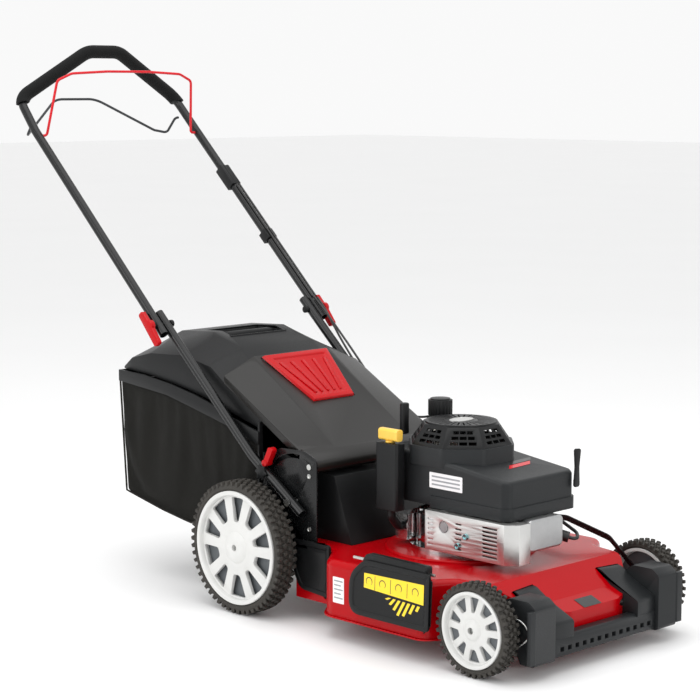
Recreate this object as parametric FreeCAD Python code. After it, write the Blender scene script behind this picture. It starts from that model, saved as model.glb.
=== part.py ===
import FreeCAD, Part
import math
import os

from FreeCAD import Vector

os.makedirs("parts", exist_ok=True)

# Walk-behind petrol lawn mower, millimetres. +Z is up, the mower drives towards -Y and the
# operator's right-hand side is -X. Everything is drawn about the point on the ground midway
# between the two wheel axles, and save() then moves it so that the origin lies under the
# middle of the whole machine.

# driving dimensions ---------------------------------------------------------------------
wheelbase = 650.0
rear_wheel_radius = 140.0
rear_tyre_width = 52.0
rear_wheel_face = 283.0          # outermost plane of the rear wheels, half the machine width
front_wheel_radius = 90.0
front_tyre_width = 40.0
front_wheel_face = 273.0
axle_radius = 6.0
running_gap = 0.05               # radial clearance of a shaft in its bore

crank_y = -50.0                  # the vertical crankshaft stands at x = 0
blade_radius = 248.0
deck_half_width = 268.0
deck_rim_z = 45.0
deck_top_z = 160.0
dome_top_z = 166.0
dome_radius = 154.0
sheet = 2.5                      # pressed steel of the deck

tube_radius = 10.0
lower_tube_x = 215.0
upper_tube_x = 237.0
lower_pivot = (222.0, 243.0)     # y, z of the bolt the lower handle folds about
clamp_point = (300.0, 295.0)     # y, z of the bolt that locks the lower handle
upper_pivot = (621.0, 576.0)     # y, z of the bolt the upper handle folds about
flap_pivot = (181.0, 319.0)      # y, z of the rod the rear flap hangs on

front_axle_y = -wheelbase / 2
rear_axle_y = wheelbase / 2
crank_arm = 60.0                 # length of the arms that raise and lower the wheels
front_pivot = (front_axle_y - crank_arm, front_wheel_radius)
rear_pivot = (rear_axle_y - crank_arm, rear_wheel_radius)
link_pin_offset = (58.0, 35.0)   # y, z of the height link's pins from each arm's pivot
arm_x = (219.0, 223.0)
link_x = (214.6, 217.6)

front_end_y = -434.0
rear_end_y = 1223.0              # the drive bail reaches furthest back
to_centre_y = -(front_end_y + rear_end_y) / 2


# small tools ----------------------------------------------------------------------------
def save(name, shapes):
    shapes = shapes if isinstance(shapes, list) else [shapes]
    whole = shapes[0] if len(shapes) == 1 else Part.makeCompound(shapes)
    whole = whole.copy()
    whole.translate(Vector(0, to_centre_y, 0))
    whole.exportStep(f"parts/{name}.step")


def box(x, y, z):
    return Part.makeBox(x[1] - x[0], y[1] - y[0], z[1] - z[0], Vector(x[0], y[0], z[0]))


def rod(start, end, radius):
    a, b = Vector(*start), Vector(*end)
    return Part.makeCylinder(radius, (b - a).Length, a, b - a)


def rod_x(x0, x1, point, radius):
    return rod((x0, point[0], point[1]), (x1, point[0], point[1]), radius)


def rod_z(x, y, z0, z1, radius):
    return rod((x, y, z0), (x, y, z1), radius)


def mirrored(shape):
    return shape.mirror(Vector(0, 0, 0), Vector(1, 0, 0))


def pair(shape):
    return [mirrored(shape), shape]


def path(points, radii, closed=False):
    """Straight runs through the points, joined by tangent arcs of the given radii."""
    points = [Vector(*p) for p in points]
    count = len(points)
    radii = radii if isinstance(radii, (list, tuple)) else [radii] * count
    starts, ends, arcs = [], [], []
    for i, corner in enumerate(points):
        inner = closed or 0 < i < count - 1
        if not inner or radii[i] <= 0:
            starts.append(corner)
            ends.append(corner)
            arcs.append(None)
            continue
        back = (points[i - 1] - corner).normalize()
        ahead = (points[(i + 1) % count] - corner).normalize()
        half = back.getAngle(ahead) / 2
        reach = radii[i] / math.tan(half)
        bisector = (back + ahead).normalize()
        middle = corner + bisector * (radii[i] / math.sin(half) - radii[i])
        starts.append(corner + back * reach)
        ends.append(corner + ahead * reach)
        arcs.append(middle)
    edges = []
    for i in range(count):
        if arcs[i] is not None:
            edges.append(Part.Arc(starts[i], arcs[i], ends[i]).toShape())
        last = i == count - 1
        if last and not closed:
            break
        a, b = ends[i], starts[(i + 1) % count]
        if (b - a).Length > 1e-6:
            edges.append(Part.makeLine(a, b))
    return Part.Wire(edges)


def swept(points, radii, section_radius):
    spine = path(points, radii)
    first = Vector(*points[0])
    section = Part.Wire(Part.makeCircle(section_radius, first, Vector(*points[1]) - first))
    return spine.makePipeShell([section], True, True)


def prism_x(points, x0, x1, radii=0):
    face = Part.Face(path([(x0, y, z) for y, z in points], radii, True))
    return face.extrude(Vector(x1 - x0, 0, 0))


def prism_y(points, y0, y1, radii=0):
    face = Part.Face(path([(x, y0, z) for x, z in points], radii, True))
    return face.extrude(Vector(0, y1 - y0, 0))


def prism_z(points, z0, z1, radii=0):
    face = Part.Face(path([(x, y, z0) for x, y in points], radii, True))
    return face.extrude(Vector(0, 0, z1 - z0))


def both_sides(points):
    """Completes an outline, given for x >= 0, with its mirror image."""
    return points + [(-x, y) for x, y in reversed(points)]


def polygon(centre, radius, sides, turn=0.0):
    step = 2 * math.pi / sides
    return [
        (centre[0] + radius * math.cos(turn + step * i), centre[1] + radius * math.sin(turn + step * i))
        for i in range(sides)
    ]


def rounded(shape, radius, wanted):
    """Fillets the edges for which wanted(edge) holds."""
    return shape.makeFillet(radius, [edge for edge in shape.Edges if wanted(edge)])


def edge_at_height(z):
    return lambda edge: all(abs(v.Z - z) < 0.01 for v in edge.Vertexes)


def turned_x(shape, point, degrees):
    copy = shape.copy()
    copy.rotate(Vector(0, point[0], point[1]), Vector(1, 0, 0), degrees)
    return copy


def section_loft(sections):
    wires = [Part.makePolygon([Vector(*p) for p in points + points[:1]]) for points in sections]
    return Part.makeLoft(wires, True, True)


# deck -----------------------------------------------------------------------------------
deck_outline = both_sides([
    (70, -398), (108, -386), (146, -358), (202, -300), (214, -232),
    (deck_half_width, -198), (deck_half_width, 66), (207, 114), (207, 222),
])
deck_corners = [22, 40, 60, 40, 18, 26, 40, 14, 8]
nose_slope = [(-405, 100), (-360, 118), (-300, deck_top_z + 1), (-300, 260), (-405, 260)]
tunnel_x = (-150.0, 58.0)
belt_slot_x = (83.0, 167.0)
discharge_y = (-190.0, -50.0)


def deck_form(inset, bottom):
    radii = deck_corners + deck_corners[::-1]
    top = deck_top_z - inset
    outline = Part.Wire(path([(x, y, bottom) for x, y in deck_outline], radii, True))
    if inset:
        outline = outline.makeOffset2D(-inset)
    form = Part.Face(outline).extrude(Vector(0, 0, top - bottom))
    form = rounded(form, 14 - inset, edge_at_height(top))
    slope = [(y, z - inset) for y, z in nose_slope]
    return form.cut(prism_x(slope, -300, 300))


def make_deck():
    shell = deck_form(0, deck_rim_z).cut(deck_form(sheet, deck_rim_z - 10))
    dome = rod_z(0, crank_y, deck_top_z - sheet, dome_top_z, dome_radius)
    dome = rounded(dome, 4, edge_at_height(dome_top_z))
    inside = rod_z(0, crank_y, deck_top_z - sheet - 1, dome_top_z - sheet, dome_radius - sheet)
    shell = shell.fuse(dome).cut(inside)
    rim = Part.Wire(path([(x, y, deck_rim_z) for x, y in deck_outline],
                         deck_corners + deck_corners[::-1], True))
    lip = Part.Face(rim.makeOffset2D(5)).extrude(Vector(0, 0, 3))
    lip = lip.cut(Part.Face(rim.makeOffset2D(-sheet)).extrude(Vector(0, 0, 3)))
    lip = lip.cut(box((-230, 230), (-420, -226), (40, 60)))
    lip = lip.cut(box((-230, 230), (118, 240), (40, 60)))
    shell = shell.fuse(lip)
    for y in (-165, -81):
        ear = box((-270.5, -259.5), (y, y + 6), (148, 176)).fuse(rod((-265, y, 176), (-265, y + 6, 176), 5.5))
        shell = shell.fuse(ear.cut(rod((-265, y - 1, 176), (-265, y + 7, 176), 3 + running_gap)))
    openings = [
        rod_z(0, crank_y, 140, 190, 34),
        box(tunnel_x, (122, 230), (150, 170)),
        box(tunnel_x, (215, 230), (130, 170)),
        box(belt_slot_x, (212, 230), (140, deck_top_z - sheet)),
        box((-280, -255), discharge_y, (66, 146)),
        rod_x(-200, 200, front_pivot, axle_radius + 3),
    ]
    for hole in openings:
        shell = shell.cut(hole)
    return shell


# front bumper ---------------------------------------------------------------------------
guard_x = (156.3, 214.0)


def make_bumper():
    bar = box((-155.7, 155.7), (-424, -401), (31, 72))
    bar = rounded(bar, 6, lambda e: abs(e.BoundBox.YMin + 424) < 0.1 and e.BoundBox.XLength > 100)
    for i in range(13):
        x = -132 + 22 * i
        bar = bar.cut(box((x, x + 11), (-430, -412), (42, 51)))
    side = [(-432, 29), (-432, 138), (-415, 150), (-366, 150), (-346, 134), (-346, 104),
            (-376, 70), (-396, 29)]
    guard = prism_x(side, *guard_x, [8, 12, 12, 20, 10, 6, 10, 4])
    hollow = prism_x([(-424, 20), (-424, 70), (-398, 76), (-398, 20)], guard_x[0] + 8, guard_x[1] - 8)
    guard = guard.cut(hollow)
    lip = box((guard_x[1] - 1, 232), (-434, -425.5), (36, 136))
    lip = rounded(lip, 3, lambda e: e.BoundBox.ZLength > 50)
    guard = guard.fuse(lip).removeSplitter()
    deck_edge = Part.Wire(path([(x, y, 20) for x, y in deck_outline], deck_corners + deck_corners[::-1], True))
    guard = guard.cut(Part.Face(deck_edge.makeOffset2D(0.6)).extrude(Vector(0, 0, 150)))
    guard = guard.cut(rod_x(100, 260, front_pivot, axle_radius + running_gap))
    return [bar] + pair(guard)


# rear housing: discharge tunnel and side panels ------------------------------------------
def make_rear_housing():
    x0, x1 = tunnel_x[0] - 3, tunnel_x[1] + 3
    outer = [(108, 160.2), (222.5, 160.2), (334, 211), (334, 330), (214, 300), (160, 296)]
    tunnel = prism_x(outer, x0, x1)
    inner = [(112, 150), (223, 150), (224, 164.5), (345, 219), (345, 345), (214, 296.5), (163, 292.5)]
    tunnel = tunnel.cut(prism_x(inner, *tunnel_x))
    panel = [(124, 64), (196, 70), (214, 104), (214, 152), (124, 152)]
    panel = prism_x(panel, 207.3, 213.0, [8, 14, 20, 6, 6])
    plate_left = box((x1, 196), (326, 330), (212, 330))
    plate_right = box((-196, x0), (326, 330), (212, 330))
    return [tunnel.fuse([plate_left, plate_right]).removeSplitter()] + pair(panel)


def slot_arc(radius, width, start, end, x0, x1):
    """Curved slot about the lower handle's pivot, angles in degrees above horizontal."""
    def on(r, angle):
        a = math.radians(angle)
        return Vector(x0, lower_pivot[0] + r * math.cos(a), lower_pivot[1] + r * math.sin(a))

    inner, outer = radius - width / 2, radius + width / 2
    middle = (start + end) / 2
    wire = Part.Wire([
        Part.Arc(on(inner, start), on(inner, middle), on(inner, end)).toShape(),
        Part.makeLine(on(inner, end), on(outer, end)),
        Part.Arc(on(outer, end), on(outer, middle), on(outer, start)).toShape(),
        Part.makeLine(on(outer, start), on(inner, start)),
    ])
    return Part.Face(wire).extrude(Vector(x1 - x0, 0, 0))


def make_side_plates():
    x = (200.0, 203.0)
    outline = [(160, 160.2), (224, 160.2), (228, 118), (292, 118), (292, 190), (318, 262),
               (318, 318), (268, 348), (196, 350), (160, 336)]
    plate = prism_x(outline, *x, [6, 0, 10, 16, 30, 30, 24, 30, 30, 14])
    reach = math.hypot(clamp_point[0] - lower_pivot[0], clamp_point[1] - lower_pivot[1])
    start = math.degrees(math.atan2(clamp_point[1] - lower_pivot[1], clamp_point[0] - lower_pivot[0]))
    plate = plate.cut(slot_arc(reach, 9.0, start - 3.5, start + 63.5, x[0] - 1, x[1] + 1))
    plate = plate.cut(rod_x(190, 210, rear_pivot, axle_radius + running_gap))
    plate = plate.cut(rod_x(190, 210, lower_pivot, 4))
    plate = plate.cut(rod_x(190, 210, flap_pivot, 6))
    foot = box((190, 203), (165, 219), (160.2, 163))
    return pair(plate.fuse(foot).removeSplitter())


def make_fixings():
    """Flap rod, discharge flap rod, lower handle pivot bolts, engine and muffler bolts."""
    pieces = [rod_x(-205, 205, flap_pivot, 6)]
    pieces.append(rod((-265, -228, 176), (-265, -12, 176), 3))
    pivot = rod_x(196, 226, lower_pivot, 4).fuse(rod_x(226, 230, lower_pivot, 7.5))
    pivot = pivot.fuse(rod_x(193, 199.8, lower_pivot, 7))
    pieces += pair(pivot)
    for x, y in polygon((0, crank_y), 84, 4, math.radians(45)):
        bolt = rod_z(x, y, 174, 180, 6.5).fuse(rod_z(x, y, 167, 174, 4))
        pieces.append(bolt)
    return pieces


# engine ---------------------------------------------------------------------------------
crank_bore = 12.5 + running_gap
cover_outline = [(-100, -246), (-88, -261), (96, -261), (108, -246), (108, 92), (20, 92),
                 (-20, 66), (-100, 58)]
cover_corners = [12, 14, 14, 12, 24, 18, 18, 18]
cover_low_z = 262.0


def cover_top(y):
    return 352 + 0.122 * (y + 105)


def make_engine_block():
    flange = rod_z(0, crank_y, dome_top_z, 173, 104)
    case = rod_z(0, crank_y, 173, 236, 88)
    upper = rod_z(0, crank_y, 236, 292, 62)
    barrel = box((-46, 46), (-252, crank_y), (196, 262))
    block = flange.fuse([case, upper, barrel])
    for i in range(7):
        z = 201 + 9 * i
        fin = rounded(box((-58, 58), (-250, -150), (z, z + 3)), 8,
                      lambda e: abs(e.BoundBox.ZLength - 3) < 0.01)
        block = block.fuse(fin)
    sump = box((-84, 84), (20, 52), (176, 228))
    block = block.fuse(sump).removeSplitter()
    block = block.cut(rod_z(0, crank_y, 150, 300, crank_bore))
    for x, y in polygon((0, crank_y), 84, 4, math.radians(45)):
        pocket = rod_z(x, y, 173.9, 240, 9)
        block = block.cut(pocket).cut(rod_z(x, y, 160, 175, 4))
    return block


def cover_form(inset, bottom):
    outline = path([(x, y, bottom) for x, y in cover_outline], cover_corners, True)
    if inset:
        outline = outline.makeOffset2D(-inset)
    form = Part.Face(outline).extrude(Vector(0, 0, 420 - bottom))
    front, rear = -320, 140
    above = [(front, cover_top(front) - inset), (rear, cover_top(rear) - inset), (rear, 440), (front, 440)]
    return form.cut(prism_x(above, -200, 200))


def make_engine_cover():
    outer = cover_form(0, cover_low_z)
    outer = rounded(outer, 9, lambda e: e.BoundBox.ZMin > cover_top(-262) - 1)
    band = Part.Face(path([(x, y, cover_low_z - 4) for x, y in cover_outline], cover_corners, True)
                     .makeOffset2D(4)).extrude(Vector(0, 0, 24))
    band = band.cut(box((-150, 150), (-62, 150), (250, 300)))
    seat = prism_z(polygon((0, crank_y), 113, 8, math.pi / 8), 340, 378, 20)
    outer = outer.fuse([band, seat])
    inner = cover_form(3, cover_low_z - 10)
    inner = inner.fuse(rod_z(0, crank_y, 330, 375, 96))
    cover = outer.cut(inner)
    cover = cover.cut(rod_z(0, crank_y, 330, 400, 90))
    cover = cover.cut(rod_z(fuel_neck[0], fuel_neck[1], 330, 400, 18))
    return cover


def make_starter_cover():
    centre = (0, crank_y)

    def cone(z0, z1, r0, r1):
        wires = []
        for z, r in ((z0, r0), (z1, r1)):
            corners = [Vector(x, y, z) for x, y in polygon(centre, r, 8, math.pi / 8)]
            wires.append(Part.makePolygon(corners + corners[:1]))
        return Part.makeLoft(wires, True, True)

    outer = cone(378.2, 417, 108, 80).fuse(rod_z(0, crank_y, 417, 420.5, 73))
    inner = cone(378.2, 414, 104.6, 77)
    shell = outer.cut(inner)
    windows = []
    for face in range(8):
        angle = 45 * face
        for row in range(3):
            z = 384.5 + 10 * row
            spread = 30 - 4 * row
            for column in (-0.62, 0, 0.62):
                half = spread * 0.26
                slot = box((60, 130), (column * spread - half, column * spread + half), (z, z + 6))
                slot.rotate(Vector(0, 0, 0), Vector(0, 0, 1), angle)
                slot.translate(Vector(0, crank_y, 0))
                windows.append(slot)
    for i in range(30):
        slot = box((34, 66), (-1.6, 1.6), (410, 425))
        slot.rotate(Vector(0, 0, 0), Vector(0, 0, 1), 12 * i)
        slot.translate(Vector(0, crank_y, 0))
        windows.append(slot)
    return shell.cut(windows)


def make_muffler():
    can = box((-108, -62), (-262, -134), (184, 250))
    can = rounded(can, 14, lambda e: e.BoundBox.ZLength > 50)
    return can.fuse(rod((-62, -200, 226), (-58.2, -200, 226), 12))


def make_muffler_guard():
    outer = [(-118, -62), (-118, -270), (-98, -292), (-66, -292), (-66, -289.5), (-97, -289.5),
             (-115.5, -269), (-115.5, -62)]
    guard = prism_z(outer, 177, 256)
    roof = prism_z([(-118, -62), (-118, -270), (-98, -292), (-66, -292), (-66, -274), (-74, -270),
                    (-74, -62)], 254, 256)
    guard = guard.fuse(roof).removeSplitter()
    cuts = []
    for i in range(8):
        z = 186 + 8 * i
        cuts.append(box((-125, -110), (-252, -214), (z, z + 3.6)))
    for row in range(6):
        z = 188 + 10 * row
        cuts.append(box((-125, -110), (-84, -70), (z, z + 3)))
        cuts.append(box((-125, -110), (-160, -144), (z, z + 3)))
    cuts.append(rod((-125, -112, 228), (-110, -112, 228), 12))
    return guard.cut(cuts)


def make_valve_cover():
    cover = box((-60, 44), (-283, -252.2), (194, 257))
    cover = rounded(cover, 12, lambda e: e.BoundBox.YLength > 25)
    return rounded(cover, 5, lambda e: e.BoundBox.YMax < -282.9)


def make_spark_plug():
    plug = rod((66, -237, 208.8), (72, -246, 206), 8)
    boot = rod((72.3, -246.5, 205.8), (84, -264, 200.5), 11)
    lead = swept([(84.2, -264.3, 200.4), (94, -279, 196), (112, -262, 205), (112, -200, 232), (96, -140, 256)],
                 [0, 10, 20, 40, 0], 3.5)
    return [plug, boot, lead]


def make_intake():
    carburettor = box((62.5, 96), (-120, -66), (236.5, 261))
    throat = rod((96, -93, 247), (106, -93, 247), 11)
    filter_box = box((52, 100), (-242, -150), (266, 320))
    return [carburettor.fuse(throat).removeSplitter(), rounded(filter_box, 6, lambda e: e.BoundBox.ZLength > 50)]


fuel_neck = (56.0, 60.0)


def make_fuel_tank():
    tank = box((24, 101), (37, 87), (268, 360))
    tank = rounded(tank, 18, lambda e: e.BoundBox.ZLength > 50)
    neck = rod_z(fuel_neck[0], fuel_neck[1], 360, 430, 16.5)
    bore = rod_z(fuel_neck[0], fuel_neck[1], 300, 431, 13)
    cavity = box((34, 91), (42, 82), (272, 356))
    return tank.fuse(neck).cut(cavity).cut(bore)


def make_fuel_cap():
    outline = []
    for i in range(24):
        for part, radius in ((0.0, 24.0), (0.25, 25.5), (0.5, 25.5), (0.75, 24.0)):
            angle = 2 * math.pi * (i + part) / 24
            outline.append((fuel_neck[0] + radius * math.cos(angle), fuel_neck[1] + radius * math.sin(angle)))
    cap = prism_z(outline, 412, 444)
    cap = cap.fuse(rod_z(fuel_neck[0], fuel_neck[1], 444, 447, 21))
    return cap.cut(rod_z(fuel_neck[0], fuel_neck[1], 410, 431, 16.9))


dipstick_at = (-124.0, 28.0)


def make_oil_filler():
    column = box((-138, -110), (-2, 58), (244, 380))
    column = rounded(column, 7, lambda e: e.BoundBox.ZLength > 100)
    foot = swept([(-120, 28, 252), (-120, 28, 228), (-100, 28, 206), (-84.2, 28, 206)], [0, 14, 12, 0], 9)
    column = column.fuse(foot)
    return column.cut(rod_z(*dipstick_at, 250, 400, 6))


def make_dipstick():
    x, y = dipstick_at
    grip = box((x - 9, x + 9), (y - 26, y + 26), (384, 408))
    grip = rounded(grip, 6, lambda e: e.BoundBox.YLength > 40)
    grip = grip.fuse(rod_z(x, y, 380.4, 384, 10))
    return grip.fuse(rod_z(x, y, 262, 384, 2.5)).removeSplitter()


def make_choke_lever():
    pivot = (100, 312)
    lever = prism_y([(91, 300), (109, 300), (107, 340), (112, 376), (92, 378), (95, 340)], -270, -265.6,
                    [6, 6, 20, 5, 5, 20])
    pin = rod((pivot[0], -270, pivot[1]), (pivot[0], -262, pivot[1]), 4)
    return lever.fuse(pin).removeSplitter()


grip_at = (-30.0, 80.0, 412.0)


def make_starter_grip():
    x, y, z = grip_at
    grip = box((x - 9, x + 9), (y - 8, y + 8), (z - 32, z + 32))
    grip = rounded(grip, 6, lambda e: e.BoundBox.ZLength > 50)
    return grip


# crank train ----------------------------------------------------------------------------
pulley_z = (146.5, 156.5)
belt_z = (148.5, 154.5)
gearbox_pulley_at = (130.0, 245.0)


def grooved_pulley(x, y, radius, bore):
    pulley = rod_z(x, y, *pulley_z, radius)
    groove = rod_z(x, y, belt_z[0] - 0.5, belt_z[1] + 0.5, radius + 2)
    groove = groove.cut(rod_z(x, y, *pulley_z, radius - 6))
    pulley = pulley.cut(groove)
    return pulley.cut(rod_z(x, y, 100, 200, bore)) if bore else pulley


def make_crankshaft():
    return rod_z(0, crank_y, 66, 345, 12.5)


def make_flywheel():
    wheel = rod_z(0, crank_y, 300, 318, 84)
    hub = rod_z(0, crank_y, 296, 336, 26)
    wheel = wheel.fuse(hub)
    for i in range(14):
        fin = box((34, 82), (-1.5, 1.5), (318, 334))
        fin.rotate(Vector(0, 0, 0), Vector(0, 0, 1), 360 / 14 * i)
        fin.translate(Vector(0, crank_y, 0))
        wheel = wheel.fuse(fin)
    return wheel.cut(rod_z(0, crank_y, 290, 345, 12.5))


def make_crank_pulley():
    pulley = grooved_pulley(0, crank_y, 30, 12.5)
    adapter = rod_z(0, crank_y, 72, 146.5, 20).fuse(rod_z(0, crank_y, 66, 72, 34))
    return [pulley, adapter.cut(rod_z(0, crank_y, 60, 150, 12.5))]


def make_blade():
    half = [(0, -28), (blade_radius - 70, -28), (blade_radius - 4, -26), (blade_radius - 4, 20),
            (blade_radius - 90, 28), (0, 28)]
    outline = [(x, crank_y + y) for x, y in half] + [(-x, crank_y - y) for x, y in half[1:-1]]
    blade = prism_z(outline, 62, 66)
    wing = prism_x([(10, 66), (28, 66), (34, 80), (31, 82)], blade_radius - 80, blade_radius - 22)
    wing.translate(Vector(0, crank_y, 0))
    other = wing.copy()
    other.rotate(Vector(0, crank_y, 0), Vector(0, 0, 1), 180)
    blade = blade.fuse([wing, other])
    bolt = prism_z(polygon((0, crank_y), 11, 6), 52, 60).fuse(rod_z(0, crank_y, 60, 62, 18))
    return [blade, bolt]


def loop(c0, r0, c1, r1, z0, z1):
    """Solid bounded by a band that runs tight round two circles."""
    gap = math.hypot(c1[0] - c0[0], c1[1] - c0[1])
    heading = math.atan2(c1[1] - c0[1], c1[0] - c0[0])
    lean = math.acos((r0 - r1) / gap)
    corners = []
    for centre, radius, side in ((c0, r0, 1), (c1, r1, 1), (c1, r1, -1), (c0, r0, -1)):
        angle = heading + side * lean
        corners.append((centre[0] + radius * math.cos(angle), centre[1] + radius * math.sin(angle)))
    body = prism_z(corners, z0, z1)
    return body.fuse([rod_z(*c0, z0, z1, r0), rod_z(*c1, z0, z1, r1)]).removeSplitter()


def make_belt():
    crank = (0, crank_y)
    outer = loop(crank, 30.4, gearbox_pulley_at, 28.4, *belt_z)
    return outer.cut(loop(crank, 24.4, gearbox_pulley_at, 22.4, *belt_z))


def make_gearbox():
    case = box((98, 162), (229, 294), (116, 146))
    case = rounded(case, 8, lambda e: e.BoundBox.ZLength > 25)
    case = case.fuse([rod_x(88, 98, rear_pivot, 12), rod_x(162, 172, rear_pivot, 12)])
    case = case.cut(rod_x(80, 180, rear_pivot, axle_radius + running_gap))
    return case.cut(rod_z(*gearbox_pulley_at, 124, 160, 5 + running_gap))


def make_gearbox_pulley():
    pulley = grooved_pulley(*gearbox_pulley_at, 28, 0)
    return pulley.fuse(rod_z(*gearbox_pulley_at, 125, pulley_z[0], 5)).removeSplitter()


# wheels and height adjustment ------------------------------------------------------------
def tyre(point, radius, bead, width, face, lugs):
    lug = math.pi * 2 / lugs
    outline = []
    for i in range(lugs):
        middle = -math.pi / 2 + lug * i
        for turn, height in ((-0.30, 0.0), (-0.26, 1.0), (0.26, 1.0), (0.30, 0.0)):
            flat = radius / math.cos(lug * 0.26)
            r = flat if height else radius - 6
            angle = middle + lug * turn
            outline.append((point[0] + r * math.cos(angle), point[1] + r * math.sin(angle)))
    body = prism_x(outline, face - width, face)
    return body.cut(rod_x(face - width - 1, face + 1, point, bead))


def rim(point, bead, width, face, lip, hub, windows):
    ring = rod_x(face - width + 3, face, point, bead - 0.02).cut(
        rod_x(face - width, face + 1, point, bead - lip))
    disc = rod_x(face - 22, face - 14, point, bead - lip + 0.5)
    boss = rod_x(face - width + 3, face - 1, point, hub)
    wheel = ring.fuse([disc, boss]).removeSplitter()
    inner, outer = hub * 1.75, bead - lip - 3
    cuts = []
    for i in range(windows):
        wide = 0.34 if i % 2 else 0.22
        a = 2 * math.pi * i / windows
        corners = []
        for r, side in ((inner, -1), (outer, -1), (outer, 1), (inner, 1)):
            angle = a + side * wide * math.pi * 2 / windows * (1.0 if r == outer else 0.8)
            corners.append((point[0] + r * math.cos(angle), point[1] + r * math.sin(angle)))
        cuts.append(prism_x(corners, face - 30, face - 5))
    wheel = wheel.cut(cuts)
    return wheel.cut(rod_x(face - width, face - 5, point, axle_radius + running_gap))


def gear_outline(point, teeth, module, tip, root, slack, turn=0.0):
    pitch = module * teeth / 2
    step = 2 * math.pi / teeth
    outline = []
    for i in range(teeth):
        middle = turn + step * i
        for offset, radius in ((-0.33, root), (-0.25, pitch), (-0.14, tip), (0.14, tip), (0.25, pitch),
                               (0.33, root)):
            angle = middle + step * (offset + (slack if offset > 0 else -slack))
            outline.append((point[0] + radius * math.cos(angle), point[1] + radius * math.sin(angle)))
    return outline


gear_module = 2.0
pinion_teeth = 12
ring_teeth = 72
gear_x = (234.5, 246.0)


def make_rear_rim():
    point = (rear_axle_y, rear_wheel_radius)
    wheel = rim(point, 119, rear_tyre_width, rear_wheel_face, 9, 34, 10)
    ring = rod_x(gear_x[0], rear_wheel_face - 14, point, 80)
    hollow = rod_x(gear_x[1], rear_wheel_face - 22, point, 76)
    pitch = gear_module * ring_teeth / 2
    teeth = gear_outline(point, ring_teeth, gear_module, pitch + 2.6, pitch - 1.5, 0.07)
    ring = ring.cut(hollow).cut(prism_x(teeth, gear_x[0] - 1, gear_x[1] + 0.1))
    return wheel.fuse(ring.cut(rod_x(240, 300, point, 60))).removeSplitter()


def make_pinion():
    pitch = gear_module * pinion_teeth / 2
    teeth = gear_outline(rear_pivot, pinion_teeth, gear_module, pitch + 1.5, pitch - 2.5, -0.07, math.pi)
    pinion = prism_x(teeth, gear_x[0] + 0.5, gear_x[1] - 0.5)
    return pinion.cut(rod_x(220, 260, rear_pivot, axle_radius + running_gap))


def make_rear_axle():
    point = (rear_axle_y, rear_wheel_radius)
    axle = rod_x(-275, 275, point, axle_radius)
    pin = (rear_pivot[0] + link_pin_offset[0], rear_pivot[1] + link_pin_offset[1])
    outline = [(246, 130), (264, 120), (330, 126), (343, 140), (336, 178), (322, 189), (306, 176),
               (262, 160), (246, 152)]
    arm = prism_x(outline, *arm_x, [8, 10, 10, 14, 12, 12, 12, 10, 8])
    arm = arm.cut(rod_x(200, 240, rear_pivot, axle_radius + running_gap))
    lever = prism_x([(240, 136), (232, 148), (136, 200), (128, 188), (226, 132)], *arm_x)
    lever = lever.cut(rod_x(200, 240, rear_pivot, 20))
    left = arm.fuse([lever, box(arm_x, (230, 250), (134, 150)).cut(rod_x(200, 240, rear_pivot, 14))])
    pin_body = rod_x(arm_x[0], 213.6, pin, 4)
    return axle.fuse([left, mirrored(arm), pin_body]).removeSplitter()


def make_height_knob():
    point = (134.0, 193.0)
    knob = rod_x(arm_x[1], 250, point, 11)
    return rounded(knob, 4, lambda e: e.BoundBox.XMin > 249.9)


def make_front_axle():
    rod_across = rod_x(-arm_x[1], arm_x[1], front_pivot, axle_radius)
    wheel = (front_axle_y, front_wheel_radius)
    stub = rod_x(arm_x[0], 266, wheel, axle_radius)
    pin = (front_pivot[0] + link_pin_offset[0], front_pivot[1] + link_pin_offset[1])
    outline = [(-397, 84), (-385, 76), (-322, 78), (-312, 90), (-314, 126), (-327, 138), (-341, 126),
               (-386, 108), (-398, 98)]
    arm = prism_x(outline, *arm_x, [6, 8, 8, 12, 12, 12, 12, 8, 6])
    left = arm.fuse([stub, rod_x(arm_x[0], 213.6, pin, 4)])
    return rod_across.fuse([left, mirrored(arm.fuse(stub))]).removeSplitter()


def make_height_link():
    rear = (rear_pivot[0] + link_pin_offset[0], rear_pivot[1] + link_pin_offset[1])
    front = (front_pivot[0] + link_pin_offset[0], front_pivot[1] + link_pin_offset[1])
    top = [front, (-262, 178), (-150, 202), (90, 184), (210, 170), rear]
    half = 6.0
    upper = [(y, z + half) for y, z in top]
    lower = [(y, z - half) for y, z in reversed(top)]
    bar = prism_x(upper + lower, *link_x, [0, 30, 40, 60, 60, 0, 0, 60, 60, 40, 30, 0])
    bar = bar.fuse([rod_x(*link_x, rear, 9), rod_x(*link_x, front, 9)]).removeSplitter()
    return bar.cut([rod_x(200, 230, rear, 4 + running_gap), rod_x(200, 230, front, 4.4)])


# handles --------------------------------------------------------------------------------
def upper_line_z(y):
    return upper_pivot[1] + 0.942 * (y - upper_pivot[0])


handle_points = [(upper_tube_x, 600, upper_line_z(600)), (upper_tube_x, 1056, upper_line_z(1056)),
                 (231, 1124, 1058), (46, 1108, 1168)]
handle_radii = [0, 60, 42, 62]


def handle_route():
    points = handle_points + [(-x, y, z) for x, y, z in reversed(handle_points)]
    return points, handle_radii + handle_radii[::-1]


def make_upper_handle():
    points, radii = handle_route()
    tube = swept(points, radii, tube_radius)
    inner = swept(points, radii, tube_radius - 1.5)
    tube = tube.cut(inner)
    holes = [rod_x(-260, 260, upper_pivot, 4)]
    return tube.cut(holes)


def make_grip():
    points, radii = handle_route()
    outer = swept(points, radii, 15.5)
    core = swept(points, radii, tube_radius)
    grip = outer.cut(core)
    return grip.cut(prism_x([(560, 300), (1180, 300), (1180, 1020), (1100, 1055), (560, 1055)], -300, 300))


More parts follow.
